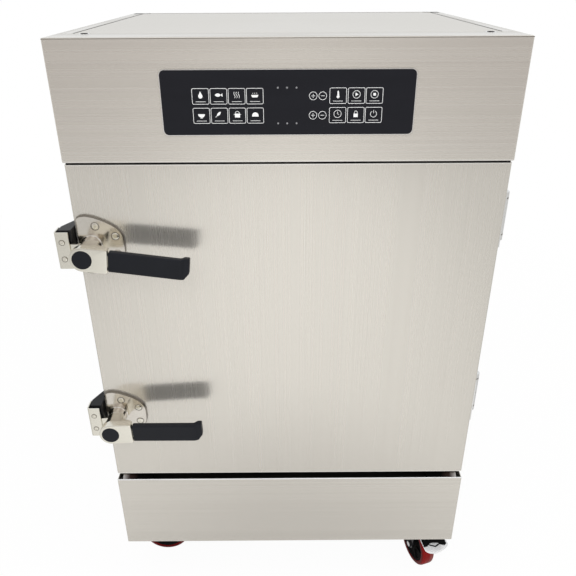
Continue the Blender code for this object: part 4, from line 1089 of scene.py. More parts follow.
@dataclass
class TouchPanel:
    """Black overlay with printed key frames, signs and lamp windows."""

    key_width: float = 0.0245
    key_height: float = 0.0223
    key_radius: float = 0.0020
    line: float = 0.00064
    thin_line: float = 0.000576
    ink_height: float = 0.00012
    ink_root: float = 0.00002
    sharpest: float = 0.4
    icon_half: float = 0.0064
    icon_rise: float = 0.0018
    underline_drop: float = 0.0076
    underline_half: float = 0.00735
    rows: Point = (1.056, 1.028)
    left_keys: tuple[float, ...] = (-0.1290, -0.1023, -0.0756, -0.0489)
    right_keys: tuple[float, ...] = (0.0736, 0.1007, 0.1272)
    adjusters: Point = (0.037, 0.051)
    adjuster_radius: float = 0.0057
    lamps: tuple[float, ...] = (-0.0150, -0.0015, 0.0125)
    lamp_rows: Point = (1.0678, 1.0163)
    lamp_radius: float = 0.0014
    edge_highlight_width: float = 0.0009
    edge_highlight_radius: float = 0.0075
    left_signs: tuple[Pictogram, ...] = (
        Pictogram.DROP, Pictogram.FISH, Pictogram.STEAM, Pictogram.TRAY,
        Pictogram.BOWL, Pictogram.LEAF, Pictogram.POT, Pictogram.BREAD,
    )
    right_signs: tuple[Pictogram, ...] = (
        Pictogram.THERMOMETER, Pictogram.START, Pictogram.STOP,
        Pictogram.CLOCK, Pictogram.LOCK, Pictogram.POWER,
    )
    face: float = field(init=False)

    def __post_init__(self) -> None:
        """Read the overlay's face from the frame."""
        self.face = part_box("touch_panel")[0].y

    def build(self) -> None:
        """Dress the overlay and the board, and print the signs."""
        dress(Finish.TOUCH_FACE, "touch_panel")
        dress(Finish.BOARD, "control_board")
        self._print_keys("left", self.left_keys, self.left_signs)
        self._print_keys("right", self.right_keys, self.right_signs)
        self._print_adjusters()
        self._print_lamps()
        self._build_edge_highlight()

    def _build_edge_highlight(self) -> None:
        """Painted highlight along the cut edge of the fascia's window round the overlay."""
        low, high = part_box("touch_panel")
        middle, half = (low + high) / 2, (high - low) / 2
        reach = self.edge_highlight_width / 2
        shape = rounded(rectangle(half.x + reach, half.z + reach), self.edge_highlight_radius)
        edge = Draft()
        self._ink(edge, scaled(shape, (middle.x, middle.z)), Pen.LOOP, self.edge_highlight_width)
        edge.piece("panel_edge_highlight", Finish.HINGE_CASTING_AND_HIGHLIGHT, "cabinet", "brushed_steel")

    def _ink(
        self, draft: Draft, outline: Sequence[Point], pen: Pen = Pen.LINE,
        width: Optional[float] = None,
    ) -> None:
        """Add a printed line of even width, or a filled shape.

        Args:
            draft: Takes the ink.
            outline: Points in X and Z.
            pen: How they are drawn.
            width: Width of the line, if it isn't the usual one.
        """
        near, far = self.face + self.ink_root, self.face - self.ink_height
        if pen is Pen.FILL:
            draft.plate(outline, near, far)
            return
        points = [Vector(point) for point in outline]
        count = len(points)
        left, right = [], []
        for index, point in enumerate(points):
            back, ahead = points[index - 1], points[(index + 1) % count]
            if pen is Pen.LINE:
                back, ahead = points[max(index - 1, 0)], points[min(index + 1, count - 1)]
            into = (point - back).normalized() if point != back else (ahead - point).normalized()
            out = (ahead - point).normalized() if point != ahead else into
            heading = (into + out).normalized()
            reach = (width or self.line) / 2 / max(heading.dot(out), self.sharpest)
            aside = Vector((-heading.y, heading.x)) * reach
            left.append(point + aside)
            right.append(point - aside)
        corners = ((left, near), (left, far), (right, far), (right, near))
        rails = [draft.ring((point.x, y, point.y) for point in side) for side, y in corners]
        for index in range(count if pen is Pen.LOOP else count - 1):
            after = (index + 1) % count
            for rail, other in zip(rails, rails[1:] + rails[:1]):
                draft.bm.faces.new((rail[index], rail[after], other[after], other[index]))
        if pen is Pen.LINE:
            for end in (0, -1):
                draft.bm.faces.new([rail[end] for rail in rails])

    def _key(self, draft: Draft, x: float, z: float, sign: Pictogram) -> None:
        """Add a key's frame, its sign and the bar under it.

        Args:
            draft: Takes the lines.
            x: Middle of the key across.
            z: Middle of the key in height.
            sign: The sign on it.
        """
        shape = rounded(rectangle(self.key_width / 2, self.key_height / 2), self.key_radius)
        self._ink(draft, scaled(shape, (x, z)), Pen.LOOP)
        for pen, points in sign.value:
            self._ink(draft, scaled(points, (x, z + self.icon_rise), self.icon_half), pen)
        low, reach = z - self.underline_drop, self.underline_half
        self._ink(draft, [(x - reach, low), (x + reach, low)], width=self.thin_line)

    def _print_keys(
        self, side: str, places: Sequence[float], signs: Sequence[Pictogram]
    ) -> None:
        """Print two rows of keys.

        Args:
            side: Side of the panel, for the name.
            places: Middles of the keys across.
            signs: Signs of the upper row, then of the lower one.
        """
        draft = Draft()
        for index, sign in enumerate(signs):
            row, column = divmod(index, len(places))
            self._key(draft, places[column], self.rows[row], sign)
        draft.piece(f"printed_keys_{side}", Finish.INK, "cabinet", "touch_face")

    def _print_adjusters(self) -> None:
        """Print the ringed plus and minus signs."""
        draft = Draft()
        bar = self.adjuster_radius * 0.5
        for z in self.rows:
            for x in self.adjusters:
                self._ink(draft, circle((x, z), self.adjuster_radius, 32), Pen.LOOP)
                self._ink(draft, [(x - bar, z), (x + bar, z)])
            x = self.adjusters[0]
            self._ink(draft, [(x, z - bar), (x, z + bar)])
        draft.piece("printed_adjusters", Finish.INK, "cabinet", "touch_face")

    def _print_lamps(self) -> None:
        """Print the small lamp windows."""
        draft = Draft()
        for z in self.lamp_rows:
            for x in self.lamps:
                self._ink(draft, circle((x, z), self.lamp_radius, 20), Pen.FILL)
        draft.piece("lamp_windows", Finish.LAMP_INK, "cabinet", "touch_face")


# Door

@dataclass
class Door:
    """Door shell, inner pan, seal and hinges."""

    hinge_screw: Triple = (0.0042, 0.0018, 0.0019)
    leaf_thickness: float = 0.003
    leaf_screw_y: float = 0.045
    knuckle_screw_y: float = 0.012
    screw_spread: float = 0.3
    collar: Profile = ((0.0074, 0.0015), (0.009, 0.0013), (0.009, -0.0013), (0.0074, -0.0015))
    collar_spread: float = 0.0325
    strip_height: float = 0.0026
    strip_fold: float = 0.0013
    strip_depth: float = 0.008
    strip_gap: float = 0.003
    hem_gap: float = 0.0015
    hem_height: float = 0.0034

    def build(self) -> None:
        """Dress the door, then fit its strip, hems and hinges."""
        dress(Finish.DOOR_STEEL, "door_skin")
        dress(Finish.INNER_STEEL, "door_inner_pan")
        dress(Finish.FOAM, "door_insulation")
        dress(Finish.SILICONE, "door_gasket")
        self._fit_top_strip()
        self._fit_hems()
        for place in ("upper", "lower"):
            leaf, knuckle = f"hinge_leaf_{place}", f"hinge_knuckle_{place}"
            dress(Finish.HINGE_CASTING_AND_HIGHLIGHT, leaf, knuckle)
            self._fit_screws(leaf, "cabinet", self.leaf_screw_y)
            self._fit_screws(knuckle, "door", self.knuckle_screw_y)
            self._fit_collars(place)

    def _fit_collars(self, place: str) -> None:
        """Dark bearing collars at both ends of the hinge's knuckle.

        Args:
            place: Upper or lower hinge.
        """
        low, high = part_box(f"hinge_knuckle_{place}")
        axis = joint("door_hinge")["pos_m"]
        for side, body in zip(SIDES, ("cabinet", "door")):
            height = (low.z + high.z) / 2 + side * self.collar_spread
            Draft().turned(self.collar, 40).piece(
                f"hinge_{place}_collar_{body}", Finish.DARK_STEEL_AND_SHADE, body, "satin_nickel",
                moved(axis[0], axis[1], height) @ UPRIGHT,
            )

    def _fit_top_strip(self) -> None:
        """Black strip of painted shade on the door's top edge, in the gap under the fascia, folded a
        little over its face.
        """
        low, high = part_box("door_skin")
        half = (self.strip_height + self.strip_fold) / 2
        strip = rectangle((high.x - low.x) / 2 - self.strip_gap, half)
        Draft().plate(strip, low.y + self.strip_depth, low.y - THIN).piece(
            "door_top_shade_strip", Finish.BLACK_RUBBER_AND_SHADE, "door", "black_plastic",
            moved((low.x + high.x) / 2, 0.0, high.z + self.strip_height - half),
        )

    def _fit_hems(self) -> None:
        """Painted highlights on the rolled hems along the door's lower and upper edges."""
        low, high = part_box("door_skin")
        hems = Draft()
        for foot, top in ((low.z + self.strip_fold, low.z + self.hem_height),
                          (high.z - self.hem_height, high.z - self.strip_fold)):
            outline = span(low.x + self.hem_gap, high.x - self.hem_gap, foot, top)
            hems.plate(outline, low.y - THIN, low.y + 1.5 * THIN)
        hems.piece("door_hem_highlights", Finish.EDGE_HIGHLIGHT_STEEL, "door", "brushed_steel")

    def _fit_screws(self, node: str, body: str, from_front: float) -> None:
        """Put screws on a hinge leaf, above and below its middle.

        Args:
            node: The leaf.
            body: The body that carries it.
            from_front: How far the screws stand behind the leaf's front edge.
        """
        low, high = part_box(node)
        screws = Draft()
        for side in SIDES:
            z = (low.z + high.z) / 2 + side * (high.z - low.z) * self.screw_spread
            place = moved(low.x + self.leaf_thickness, low.y + from_front, z) @ FACE_RIGHT
            screws.add(screw_head(*self.hinge_screw), place)
        screws.piece(f"{node}_screws", Finish.SCREW_STEEL, body, "satin_nickel")


# Latches

@dataclass
class Latch:
    """Lever latch: base and neck on the door, lever with grip, keeper at the side."""

    place: str
    tilt: float
    flange_side: Profile = (
        (-0.0215, 0.0440), (-0.0200, 0.0478), (-0.0150, 0.0506), (-0.0057, 0.0518),
        (0.0072, 0.0492), (0.0170, 0.0455), (0.0267, 0.0411), (0.0363, 0.0355),
        (0.0440, 0.0297), (0.0492, 0.0232), (0.0522, 0.0168), (0.0534, 0.0095),
    )
    flange_shade_rim: Point = (-0.0049, -0.0003)
    flange_plate: Point = (-0.0053, -0.0040)
    flange_inset: Point = (0.985, 0.965)
    bevel: float = 0.0006
    flange_screws: Profile = ((0.009, 0.033), (0.040, 0.0156))
    flange_screw: Triple = (0.0057, 0.0011, 0.0024)
    flange_shade_well: Profile = (
        (0.0072, -0.0050), (0.0072, -0.00545), (0.0059, -0.00545), (0.0058, -0.0050),
    )
    neck_radius: float = 0.0162
    neck_fillet: float = 0.0022
    neck_root: float = -0.0045
    neck_and_spindle: Profile = (
        (0.0158, -0.0125), (0.0156, -0.0185), (0.0150, -0.0193), (0.006, -0.0193),
        (0.006, -0.059), (0.0, -0.059),
    )
    # Depth of each section, radius of its round end, and its reach towards the grip.
    barrel_and_hub: tuple[Triple, ...] = (
        (-0.0196, 0.0152, 0.0154), (-0.0250, 0.0158, 0.0162), (-0.0330, 0.0166, 0.0180),
        (-0.0410, 0.0178, 0.0215), (-0.0460, 0.0190, 0.0300), (-0.0500, 0.0201, 0.0371),
        (-0.0520, 0.0205, 0.0391), (-0.0640, 0.0205, 0.0391), (-0.06505, 0.02005, 0.03865),
        (-0.0655, 0.0190, 0.0376),
    )
    hub_radius: float = 0.0205
    corner_radius: float = 0.003
    recess_radius: float = 0.0158
    recess_floor: float = -0.0625
    tang: tuple[float, float, float, float] = (0.020, 0.140, -0.010, 0.010)
    tang_depths: Point = (-0.0615, -0.0575)
    nose: Profile = ((-0.012, 0.0085), (-0.044, 0.0065), (-0.046, 0.0045))
    nose_depths: Point = (-0.0263, -0.0203)
    cap_radius: float = 0.0155
    cap_back: float = -0.0626
    cap_face: float = -0.0670
    cap_edge: float = 0.0012
    grip_start: float = 0.0385
    grip_end: float = 0.1675
    grip_height: float = 0.0345
    grip_thickness: float = 0.0115
    grip_depth: float = 0.0585
    grip_lean: float = math.radians(2.5)
    grip_radius: float = 0.0024
    # Place from the grip's start, or back from its end, then how far the grip is bent
    # back, raised below and above, and trimmed all round.
    grip_stations: tuple[tuple[float, ...], ...] = (
        (0.0013, 0.0, 0.0010, -0.0034, 0.0014), (0.0017, 0.0, 0.0, -0.0022, 0.0005),
        (0.0028, 0.0, 0.0, -0.0006, 0.0), (0.0045, 0.0, 0.0, 0.0, 0.0),
        (-0.0160, 0.0, 0.0, 0.0, 0.0), (-0.0140, 0.0003, 0.0, 0.0, 0.0),
        (-0.0120, 0.0012, -0.0003, 0.0003, 0.0), (-0.0100, 0.0027, -0.0008, 0.0009, 0.0),
        (-0.0085, 0.0036, -0.0010, 0.0012, 0.0), (-0.0073, 0.0039, 0.0002, 0.0014, 0.0),
        (-0.0060, 0.0041, 0.0021, 0.0015, 0.0), (-0.0012, 0.0042, 0.0088, 0.0014, 0.0),
        (-0.0003, 0.0042, 0.0096, 0.0014, 0.0005), (0.0, 0.0042, 0.0100, 0.0014, 0.0015),
    )
    keeper_screw: Triple = (0.0040, 0.0012, 0.0019)
    keeper_screw_z: float = 0.0145
    keeper_shade_well: Profile = (
        (0.0050, 0.0002), (0.0050, -0.0003), (0.0042, -0.0003), (0.0041, 0.0002),
    )
    pivot: Vector = field(init=False)

    def __post_init__(self) -> None:
        """Find the pivot from the lever's joint."""
        self.pivot = Vector(joint(f"{self.place}_lever_turn")["pos_m"])

    def build(self) -> None:
        """Build the latch from the door outwards, then its keeper."""
        self._build_base()
        self._fit_flange_screws()
        self._build_lever()
        self._build_nose()
        self._build_grip()
        self._build_cap()
        self._build_keeper()

    def _fit(
        self, draft: Draft, part: str, finish: Finish, turns: bool = False, solid: str = ""
    ) -> None:
        """Turn a draft into a part of the latch.

        Args:
            draft: Its mesh about the pivot.
            part: Its plain name.
            finish: Its finish.
            turns: Whether it turns with the lever.
            solid: The solid part that it stands for.
        """
        place = Matrix.Translation(self.pivot)
        if turns:
            place @= Matrix.Rotation(math.radians(self.tilt), 4, "Y")
        draft.piece(
            f"latch_{self.place}_{part}", finish, f"{self.place}_lever" if turns else "door",
            "black_plastic" if finish is Finish.GRIP else "satin_nickel", place,
            (f"{solid}_{self.place}",) if solid else (),
        )

    def _build_base(self) -> None:
        """Flange whose rounded edge is dark with painted shade and reflection, and the conical neck
        with its fillet.
        """
        outline = mirrored(self.flange_side)
        rim = Draft().plate(outline, *self.flange_shade_rim).soften(self.bevel, 2)
        inner = [(x * self.flange_inset[0], z * self.flange_inset[1]) for x, z in outline]
        face = Draft().plate(inner, *self.flange_plate).soften(self.bevel / 2, 2)
        fillet = self.neck_fillet
        centre = (self.neck_radius + fillet, self.flange_plate[0] - fillet)
        curve = arc(centre, fillet, 90.0, 175.0, 6)
        profile = [(0.0, self.neck_root), *curve, *self.neck_and_spindle]
        face.add(Draft().turned(profile, 64))
        self._fit(face, "base", Finish.CASTING, solid="latch_base")
        # The flange's dark rim is painted shade and reflection.
        self._fit(rim, "rim", Finish.DARK_STEEL_AND_SHADE)

    def _fit_flange_screws(self) -> None:
        """Sunk screws in wells of painted shade."""
        wells, screws = Draft(), Draft()
        for x, z in self.flange_screws:
            for side in SIDES:
                wells.add(Draft().turned(self.flange_shade_well, 36), moved(x, 0.0, side * z))
                place = moved(x, self.flange_shade_well[0][1], side * z)
                screws.add(screw_head(*self.flange_screw), place)
        self._fit(wells, "wells", Finish.DARK_STEEL_AND_SHADE)
        self._fit(screws, "screws", Finish.LEVER_CASTING)

    def _hub_section(self, y: float, radius: float, bar: float) -> list[tuple]:
        """Section of the lever: a round end and a straight bar towards the grip.

        Args:
            y: Depth of the section.
            radius: Radius of the round end and half the bar's height.
            bar: How far the bar runs towards the grip.

        Returns:
            The section's points.
        """
        corner = min(self.corner_radius, radius * 0.3)
        points = arc((0.0, 0.0), radius, 90.0, 270.0, 24)
        points += arc((bar - corner, corner - radius), corner, -90.0, 0.0, 4)
        points += arc((bar - corner, radius - corner), corner, 0.0, 90.0, 4)
        return [(x, y, z) for x, z in points]

    def _build_lever(self) -> None:
        """Cast lever: barrel that flares into the hub, the cap's recess and the tang."""
        lever = Draft()
        rings = [lever.ring(self._hub_section(*section)) for section in self.barrel_and_hub]
        ways = [Vector((x, z)).normalized() * self.recess_radius
                for x, _, z in self._hub_section(0.0, self.hub_radius, self.grip_start)]
        for y in (self.barrel_and_hub[-1][0], self.recess_floor):
            rings.append(lever.ring((way.x, y, way.y) for way in ways))
        lever.loft(rings)
        lever.add(Draft().plate(span(*self.tang), *self.tang_depths))
        self._fit(lever, "lever", Finish.LEVER_CASTING, True, "lever")

    def _build_nose(self) -> None:
        """Flat nose that lies behind the keeper's plate."""
        nose = Draft().plate(mirrored(self.nose), *self.nose_depths).soften(self.bevel, 2)
        self._fit(nose, "claw", Finish.LEVER_CASTING, True)

    def _build_grip(self) -> None:
        """Moulded grip with rounded edges, bent back and cut off at its end."""
        half = self.grip_height / 2
        grip = Draft()
        rings = []
        for along, bent, raised, horn, trim in self.grip_stations:
            x = along + (self.grip_start if along > 0.0 else self.grip_end)
            centre = self.grip_depth + math.tan(self.grip_lean) * (x - self.grip_start) - bent
            low, high = -half + raised + trim, half + horn - trim
            section = rectangle(self.grip_thickness / 2 - trim * 0.8, (high - low) / 2)
            shape = rounded(section, self.grip_radius - trim * 0.5, 4)
            middle = (low + high) / 2
            rings.append(grip.ring((x, depth - centre, middle + z) for depth, z in shape))
        self._fit(grip.loft(rings), "grip", Finish.GRIP, True, "grip")

    def _build_cap(self) -> None:
        """Round cover with a soft rim."""
        rim, face, edge = self.cap_radius, self.cap_face, self.cap_edge
        profile = [
            (0.0, self.cap_back), (rim, self.cap_back),
            *arc((rim - edge, face + edge), edge, 0.0, -90.0, 5),
            (rim * 0.5, face - THIN / 2), (0.0, face - THIN / 2),
        ]
        self._fit(Draft().turned(profile, 64), "cap", Finish.GRIP, True, "cap")

    def _build_keeper(self) -> None:
        """Screws of the keeper's plate, in wells of painted shade; plate and block stay solid."""
        dress(Finish.LEVER_CASTING, f"keeper_plate_{self.place}")
        dress(Finish.BLACK_PLASTIC, f"keeper_block_{self.place}")
        low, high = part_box(f"keeper_plate_{self.place}")
        screws, wells = Draft(), Draft()
        for side in SIDES:
            height = self.pivot.z + side * self.keeper_screw_z
            place = moved((low.x + high.x) / 2, low.y, height)
            screws.add(screw_head(*self.keeper_screw), place)
            wells.add(Draft().turned(self.keeper_shade_well, 36), place)
        name = f"keeper_{self.place}"
        screws.piece(f"{name}_screws", Finish.LEVER_CASTING, "cabinet", "satin_nickel")
        wells.piece(f"{name}_wells", Finish.DARK_STEEL_AND_SHADE, "cabinet", "satin_nickel")


# Castors

@dataclass
class Castor:
    """Swivel castor: plate, fork, tyred wheel and, in front, a brake pedal."""

    place: str
    braked: bool
    flank: Profile = ((0.0392, 0.0130), (0.0404, 0.0148), (0.043, 0.0150))
    shoulder_centre: Point = (0.043, 0.008)
    shoulder: float = 0.007
    web: Profile = (
        (0.0054, 0.016), (0.0120, 0.016), (0.0132, 0.0148), (0.0150, 0.0100), (0.0180, 0.0088),
        (0.0330, 0.0100), (0.0362, 0.0136), (0.0393, 0.0138),
    )
    ribs: int = 6
    rib_from: float = 0.0140
    rib_to: float = 0.0345
    rib_half: float = 0.0012
    rib_starts: Point = (-0.0130, 0.0080)
    rib_depth: float = 0.0050
    bolt: Profile = (
        (0.0, 0.0247), (-0.005704, 0.0247), (-0.0062, 0.0239), (-0.0062, 0.0203), (0.0, 0.0203),
    )
    blade_half: float = 0.0012
    blade_bevel: float = 0.0005
    blade_bend: float = -0.012
    blade_fall: float = -0.0085 / 0.022
    blade: tuple[Triple, ...] = (
        (0.0020, -0.0155, 0.0155), (-0.0095, -0.0155, 0.0155), (-0.0125, -0.0172, 0.0185),
        (-0.0150, -0.0185, 0.0245), (-0.0200, -0.0190, 0.0320), (-0.0270, -0.0188, 0.0365),
        (-0.0340, -0.0186, 0.0385), (-0.0400, -0.0180, 0.0385), (-0.0440, -0.0150, 0.0355),
        (-0.0470, -0.0105, 0.0270), (-0.0492, -0.0040, 0.0170), (-0.0502, 0.0015, 0.0095),
    )
    pin: Profile = ((0.0, -0.0203), (0.0024, -0.0203), (0.0024, 0.0203), (0.0, 0.0203))
    shade_patch: Profile = (
        (-0.0165, -0.0150), (-0.0182, -0.0335), (-0.0105, -0.0338), (-0.0035, -0.0308),
        (0.0010, -0.0292), (0.0170, -0.0330), (0.0198, -0.0368), (0.0290, -0.0415),
        (0.0350, -0.0390), (0.0345, -0.0270), (0.0240, -0.0165),
    )
    shade_chevron: Profile = (
        (-0.0045, -0.0312), (0.0074, -0.0375), (0.0190, -0.0346), (0.0190, -0.0368),
        (0.0074, -0.0397), (-0.0045, -0.0334),
    )
    shade_patch_height: float = 0.0010
    roll_place: Matrix = field(init=False)

    def __post_init__(self) -> None:
        """Find the wheel's place from its joint."""
        roll = joint(f"{self.place}_wheel_roll")
        axis = Vector(roll["axis"]).normalized()
        turn = Vector((0.0, -1.0, 0.0)).rotation_difference(axis).to_matrix().to_4x4()
        self.roll_place = Matrix.Translation(roll["pos_m"]) @ turn

    def build(self) -> None:
        """Dress the pressed parts and build the pedal, the wheel and its bolt."""
        dress(Finish.CHROME, f"castor_plate_{self.place}")
        dress(Finish.BLACK_PAINT, f"fork_{self.place}")
        if self.braked:
            self._build_pedal()
        self._build_tread()
        self._build_centre()
        self._build_bolt()

    def _fit(
        self, draft: Draft, part: str, finish: Finish, body: str, slot: str,
        place: Optional[Matrix] = None, solid: str = "",
    ) -> None:
        """Turn a draft into a part of the castor.

        Args:
            draft: Its mesh about the axle or the pedal's pin.
            part: Its plain name.
            finish: Its finish.
            body: The part of the castor that it moves with.
            slot: The record's slot for its finish.
            place: Its place, if it isn't the wheel's.
            solid: The solid part that it stands for.
        """
        draft.piece(
            f"castor_{self.place}_{part}", finish, f"{self.place}_{body}", slot,
            self.roll_place if place is None else place, (f"{solid}_{self.place}",) if solid else (),
        )

    def _build_pedal(self) -> None:
        """Bent pedal that widens towards its rounded end, with black patches of painted shade and
        painted reflection on it.
        """
        press = joint(f"{self.place}_brake_press")
        heading = math.atan2(press["axis"][1], press["axis"][0])
        place = Matrix.Translation(press["pos_m"]) @ Matrix.Rotation(heading, 4, "Z")
        blade = Draft()
        rings = []
        for y, left, right in self.blade:
            high = self._blade_top(y)
            shape = span(left, right, high, high - 2 * self.blade_half)
            rings.append(blade.ring((x, y, z) for x, z in shape))
        blade.loft(rings).soften(self.blade_bevel, 2)
        blade.add(Draft().turned(self.pin, 20), FACE_RIGHT)
        self._fit(blade, "pedal", Finish.ZINC_AND_HIGHLIGHT, "brake", "chrome", place, "pedal")
        # Black patches on the pedal are painted shade and painted reflection.
        shade_patches = Draft()
        for outline in (self.shade_patch, self.shade_chevron):
            shade_patches.loft([
                shade_patches.ring((x, y, self._blade_top(y) + rise) for x, y in outline)
                for rise in (-THIN, self.shade_patch_height)
            ])
        self._fit(shade_patches, "shade_patch", Finish.BLACK_RUBBER_AND_SHADE, "brake", "black_plastic", place)

    def _blade_top(self, y: float) -> float:
        """Height of the pedal's upper face, bent down behind its neck."""
        return self.blade_half + self.blade_fall * max(0.0, self.blade_bend - y)

    def _build_tread(self) -> None:
        """Red tread with rounded shoulders."""
        curve = arc(self.shoulder_centre, self.shoulder, 80.0, 0.0, 8)
        tread = Draft().turned(mirrored([*self.flank, *curve]), 96)
        self._fit(tread, "tread", Finish.TREAD, "wheel", "red_tyre", solid="wheel")

    def _build_centre(self) -> None:
        """Black wheel centre with a dished and ribbed web round its boss."""
        centre = Draft().turned(mirrored(self.web), 72)
        rib = span(self.rib_from, self.rib_to, -self.rib_half, self.rib_half)
        for index in range(self.ribs):
            turn = Matrix.Rotation(2 * math.pi * index / self.ribs, 4, "Y")
            for y in self.rib_starts:
                centre.add(Draft().plate(rib, y, y + self.rib_depth), turn)
        self._fit(centre, "centre", Finish.BLACK_RUBBER_AND_SHADE, "wheel", "black_plastic")

    def _build_bolt(self) -> None:
        """Hexagon head and nut on the fork's cheeks."""
        bolt = Draft().turned(self.bolt, 36)
        bolt.add(Draft().turned([(radius, -y) for radius, y in self.bolt], 36))
        self._fit(bolt, "bolt", Finish.CHROME, "swivel", "chrome")


# Inside and rear

@dataclass
class Fittings:
    """Parts of the chamber and at the rear, which keep their solid forms."""

    trays: int = 4

    def build(self) -> None:
        """Dress the pieces inside, then the services in the rear sheet."""
        dress(Finish.INNER_STEEL, "chamber_liner", "rack_left", "rack_right", "steam_baffle",
              "water_tank", *(f"tray_{number + 1}" for number in range(self.trays)))
        dress(Finish.FOAM, "insulation_jacket")
        dress(Finish.CHROME, "heating_element")
        dress(Finish.INNER_STEEL, "steam_vent")
        dress(Finish.BRASS, "drain_valve")
        dress(Finish.DIPPED_RED, "drain_handle")
        dress(Finish.BLACK_PLASTIC, "feed_valve", "cable_gland")


# Studio

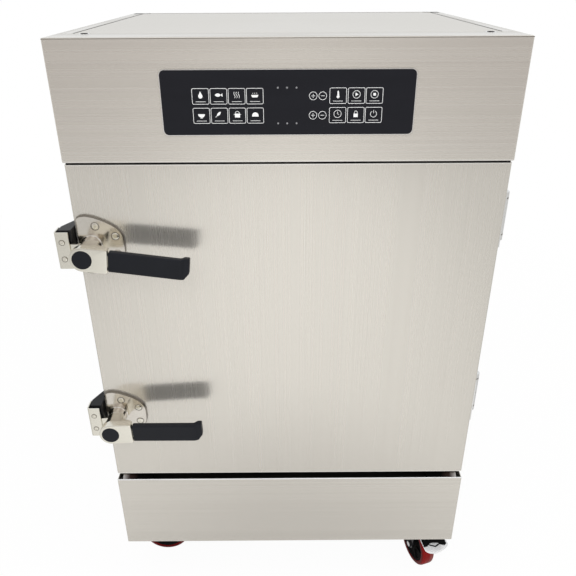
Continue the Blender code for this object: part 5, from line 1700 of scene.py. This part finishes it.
@dataclass
class Studio:
    """Pale floor, soft light and the camera."""

    floor_radius: float = 4.4
    # Painted pool of light on the floor, seen in reflections.
    pool_centre: Point = (0.0, -2.4)
    pool_size: Point = (0.64, 1.9)
    camera_place: Triple = (-0.0037, -1.2314, 1.2156)
    pitch_down: float = math.radians(27.091)
    yaw_right: float = math.radians(0.134)
    roll: float = math.radians(0.285)
    lens: float = 38.356
    sensor: float = 36.0
    wall_tones: Stops = (
        (0.0, (0.88, 0.875, 0.865)), (0.10, (0.80, 0.785, 0.775)), (0.18, (0.60, 0.575, 0.565)),
        (0.22, (0.42, 0.385, 0.375)), (0.34, (0.60, 0.585, 0.58)), (0.62, (0.82,) * 3),
        (1.0, (0.90,) * 3),
    )
    corner_tones: Stops = ((0.0, BLACK), (0.36, (0.75,) * 3), (0.8, BLACK))

    def build(self) -> None:
        """Set up everything that is not the cabinet."""
        bpy.context.scene.view_settings.view_transform = "Standard"
        self._build_camera()
        self._build_world()
        self._build_floor()
        self._lamp("overhead_lamp", (0.2, -0.3, 3.0), (0.0, 0.0, 0.6), 2.6, 42.0)
        self._lamp("front_lamp", (-0.3, -2.9, 2.6), (0.0, -1.2, 0.2), 1.6, 40.0)

    def _build_camera(self) -> None:
        """Camera at the photograph's place and angle."""
        data = bpy.data.cameras.new("view")
        data.lens = self.lens
        data.sensor_width = self.sensor
        data.sensor_fit = "HORIZONTAL"
        data.clip_end = 200.0
        heading = Matrix.Rotation(-self.yaw_right, 4, "Z")
        tilt = Matrix.Rotation(math.pi / 2 - self.pitch_down, 4, "X")
        roll = Matrix.Rotation(-self.roll, 4, "Z")
        place = Matrix.Translation(self.camera_place) @ heading @ tilt @ roll
        bpy.context.scene.camera = placed("view", data, place)

    def _rays(self, sheet: ShaderSheet) -> tuple[Channel, Channel]:
        """Tell rays that show the room from rays that light it.

        Args:
            sheet: The node tree that asks.

        Returns:
            One for rays from the camera, and one for rays off a mirror or through glass.
        """
        path = sheet.node("LightPath").outputs
        glossy = Channel(sheet, path["Is Glossy Ray"])
        return Channel(sheet, path["Is Camera Ray"]), glossy.larger(path["Is Transmission Ray"])

    def _build_world(self) -> None:
        """White room that is a little darker at eye level than above."""
        world = bpy.data.worlds.new("room")
        bpy.context.scene.world = world
        world.use_nodes = True
        sheet = ShaderSheet(world.node_tree)
        heading = sheet.node("TexCoord").outputs["Generated"]
        parts = sheet.node("SeparateXYZ", {}, {0: heading}).outputs
        wall = sheet.ramp(sheet.share(parts["Z"], -0.30, 0.70), self.wall_tones)
        sideways = Channel(sheet, parts["X"])
        sideways = sideways.larger(0 - sideways)
        wall = sheet.blend(sheet.ramp(sideways, self.corner_tones), wall, (0.39, 0.36, 0.35))
        wall = sheet.blend(sheet.share(parts["Y"], -0.1, 0.3), wall, (0.765, 0.780, 0.795))
        seen, glossy = self._rays(sheet)
        colour = sheet.blend(seen, sheet.blend(glossy, (0.55, 0.55, 0.55), wall), WHITE)
        background = sheet.node("Background", {}, {"Color": colour, "Strength": 1.0})
        sheet.node("OutputWorld", {}, {"Surface": background.outputs[0]})

    def _fade(self, sheet: ShaderSheet, centre: Point, size: Point, reach: Point) -> Channel:
        """Soft step over the floor, from 0 inside to 1 outside.

        Args:
            sheet: The floor's node tree.
            centre: Middle of the step's ring.
            size: Half widths along X and Y that count as a distance of 1.
            reach: Distances where it starts and ends.

        Returns:
            The step as a channel.
        """
        own = sheet.node("TexCoord").outputs["Object"]
        inputs = {"Vector": own, "Location": (*centre, 0.0), "Scale": (*size, 1.0)}
        stretch = sheet.node("Mapping", {"vector_type": "TEXTURE"}, inputs).outputs["Vector"]
        far = sheet.node("VectorMath", {"operation": "LENGTH"}, {0: stretch}).outputs["Value"]
        return sheet.share(far, *reach, kind="SMOOTHSTEP")

    def _build_floor(self) -> None:
        """Round pale floor that keeps the cabinet's shadow; in reflections it shows a painted pool
        of light in front and painted shade near the cabinet.
        """
        floor = Draft()
        rim = circle((0.0, 0.0), self.floor_radius, 128)
        floor.bm.faces.new(floor.ring((x, y, 0.0) for x, y in rim))
        mesh = floor.mesh("floor")
        material, sheet = new_sheet("pale_floor")
        seen, glossy = self._rays(sheet)
        rim = self._fade(sheet, (0.0, 0.0), (1.0, 1.0), (0.8, 2.6))
        light_pool = self._fade(sheet, self.pool_centre, self.pool_size, (0.4, 2.0))
        # Painted shade on the floor near the cabinet, seen only in reflections.
        near = self._fade(sheet, (0.0, 0.0), (0.7, 1.0), (0.3, 1.1))
        mirror = sheet.blend(light_pool, (0.96, 0.96, 0.955), (0.60, 0.60, 0.595))
        mirror = sheet.blend(near, (0.53, 0.525, 0.52), mirror)
        paint = sheet.node("BsdfDiffuse", {}, {"Color": (0.93, 0.93, 0.925)})
        glow = sheet.node("Emission", {}, {"Color": sheet.blend(glossy, WHITE, mirror)})
        share = seen * (rim * 0.04 + 0.96) + glossy
        both = sheet.node("MixShader", {}, {0: share, 1: paint.outputs[0], 2: glow.outputs[0]})
        sheet.node("OutputMaterial", {}, {"Surface": both.outputs[0]})
        mesh.materials.append(material)
        item = placed("floor", mesh)

    def _lamp(self, name: str, place: Triple, target: Triple, size: float, power: float) -> None:
        """Add one soft lamp.

        Args:
            name: Name of the lamp.
            place: Where it hangs.
            target: The point that it faces.
            size: Side of its square.
            power: Its power in watts.
        """
        data = bpy.data.lights.new(name, "AREA")
        data.shape = "SQUARE"
        data.size = size
        data.energy = power
        aim = Vector(target) - Vector(place)
        turn = aim.to_track_quat("-Z", "Y").to_matrix().to_4x4()
        placed(name, data, Matrix.Translation(place) @ turn).visible_glossy = False


def main() -> None:
    """Build the cabinet's looks in order, then the studio."""
    logging.basicConfig(level=logging.INFO, format="%(name)s: %(message)s")
    SteelBody().build()
    TouchPanel().build()
    Door().build()
    for place, tilt in (("upper", 6.5), ("lower", -2.0)):
        Latch(place, tilt).build()
    for place in ("front_left", "front_right", "rear_left", "rear_right"):
        Castor(place, place.startswith("front")).build()
    Fittings().build()
    Studio().build()
    LOG.info("the cabinet is dressed")


if __name__ == "__main__":
    main()
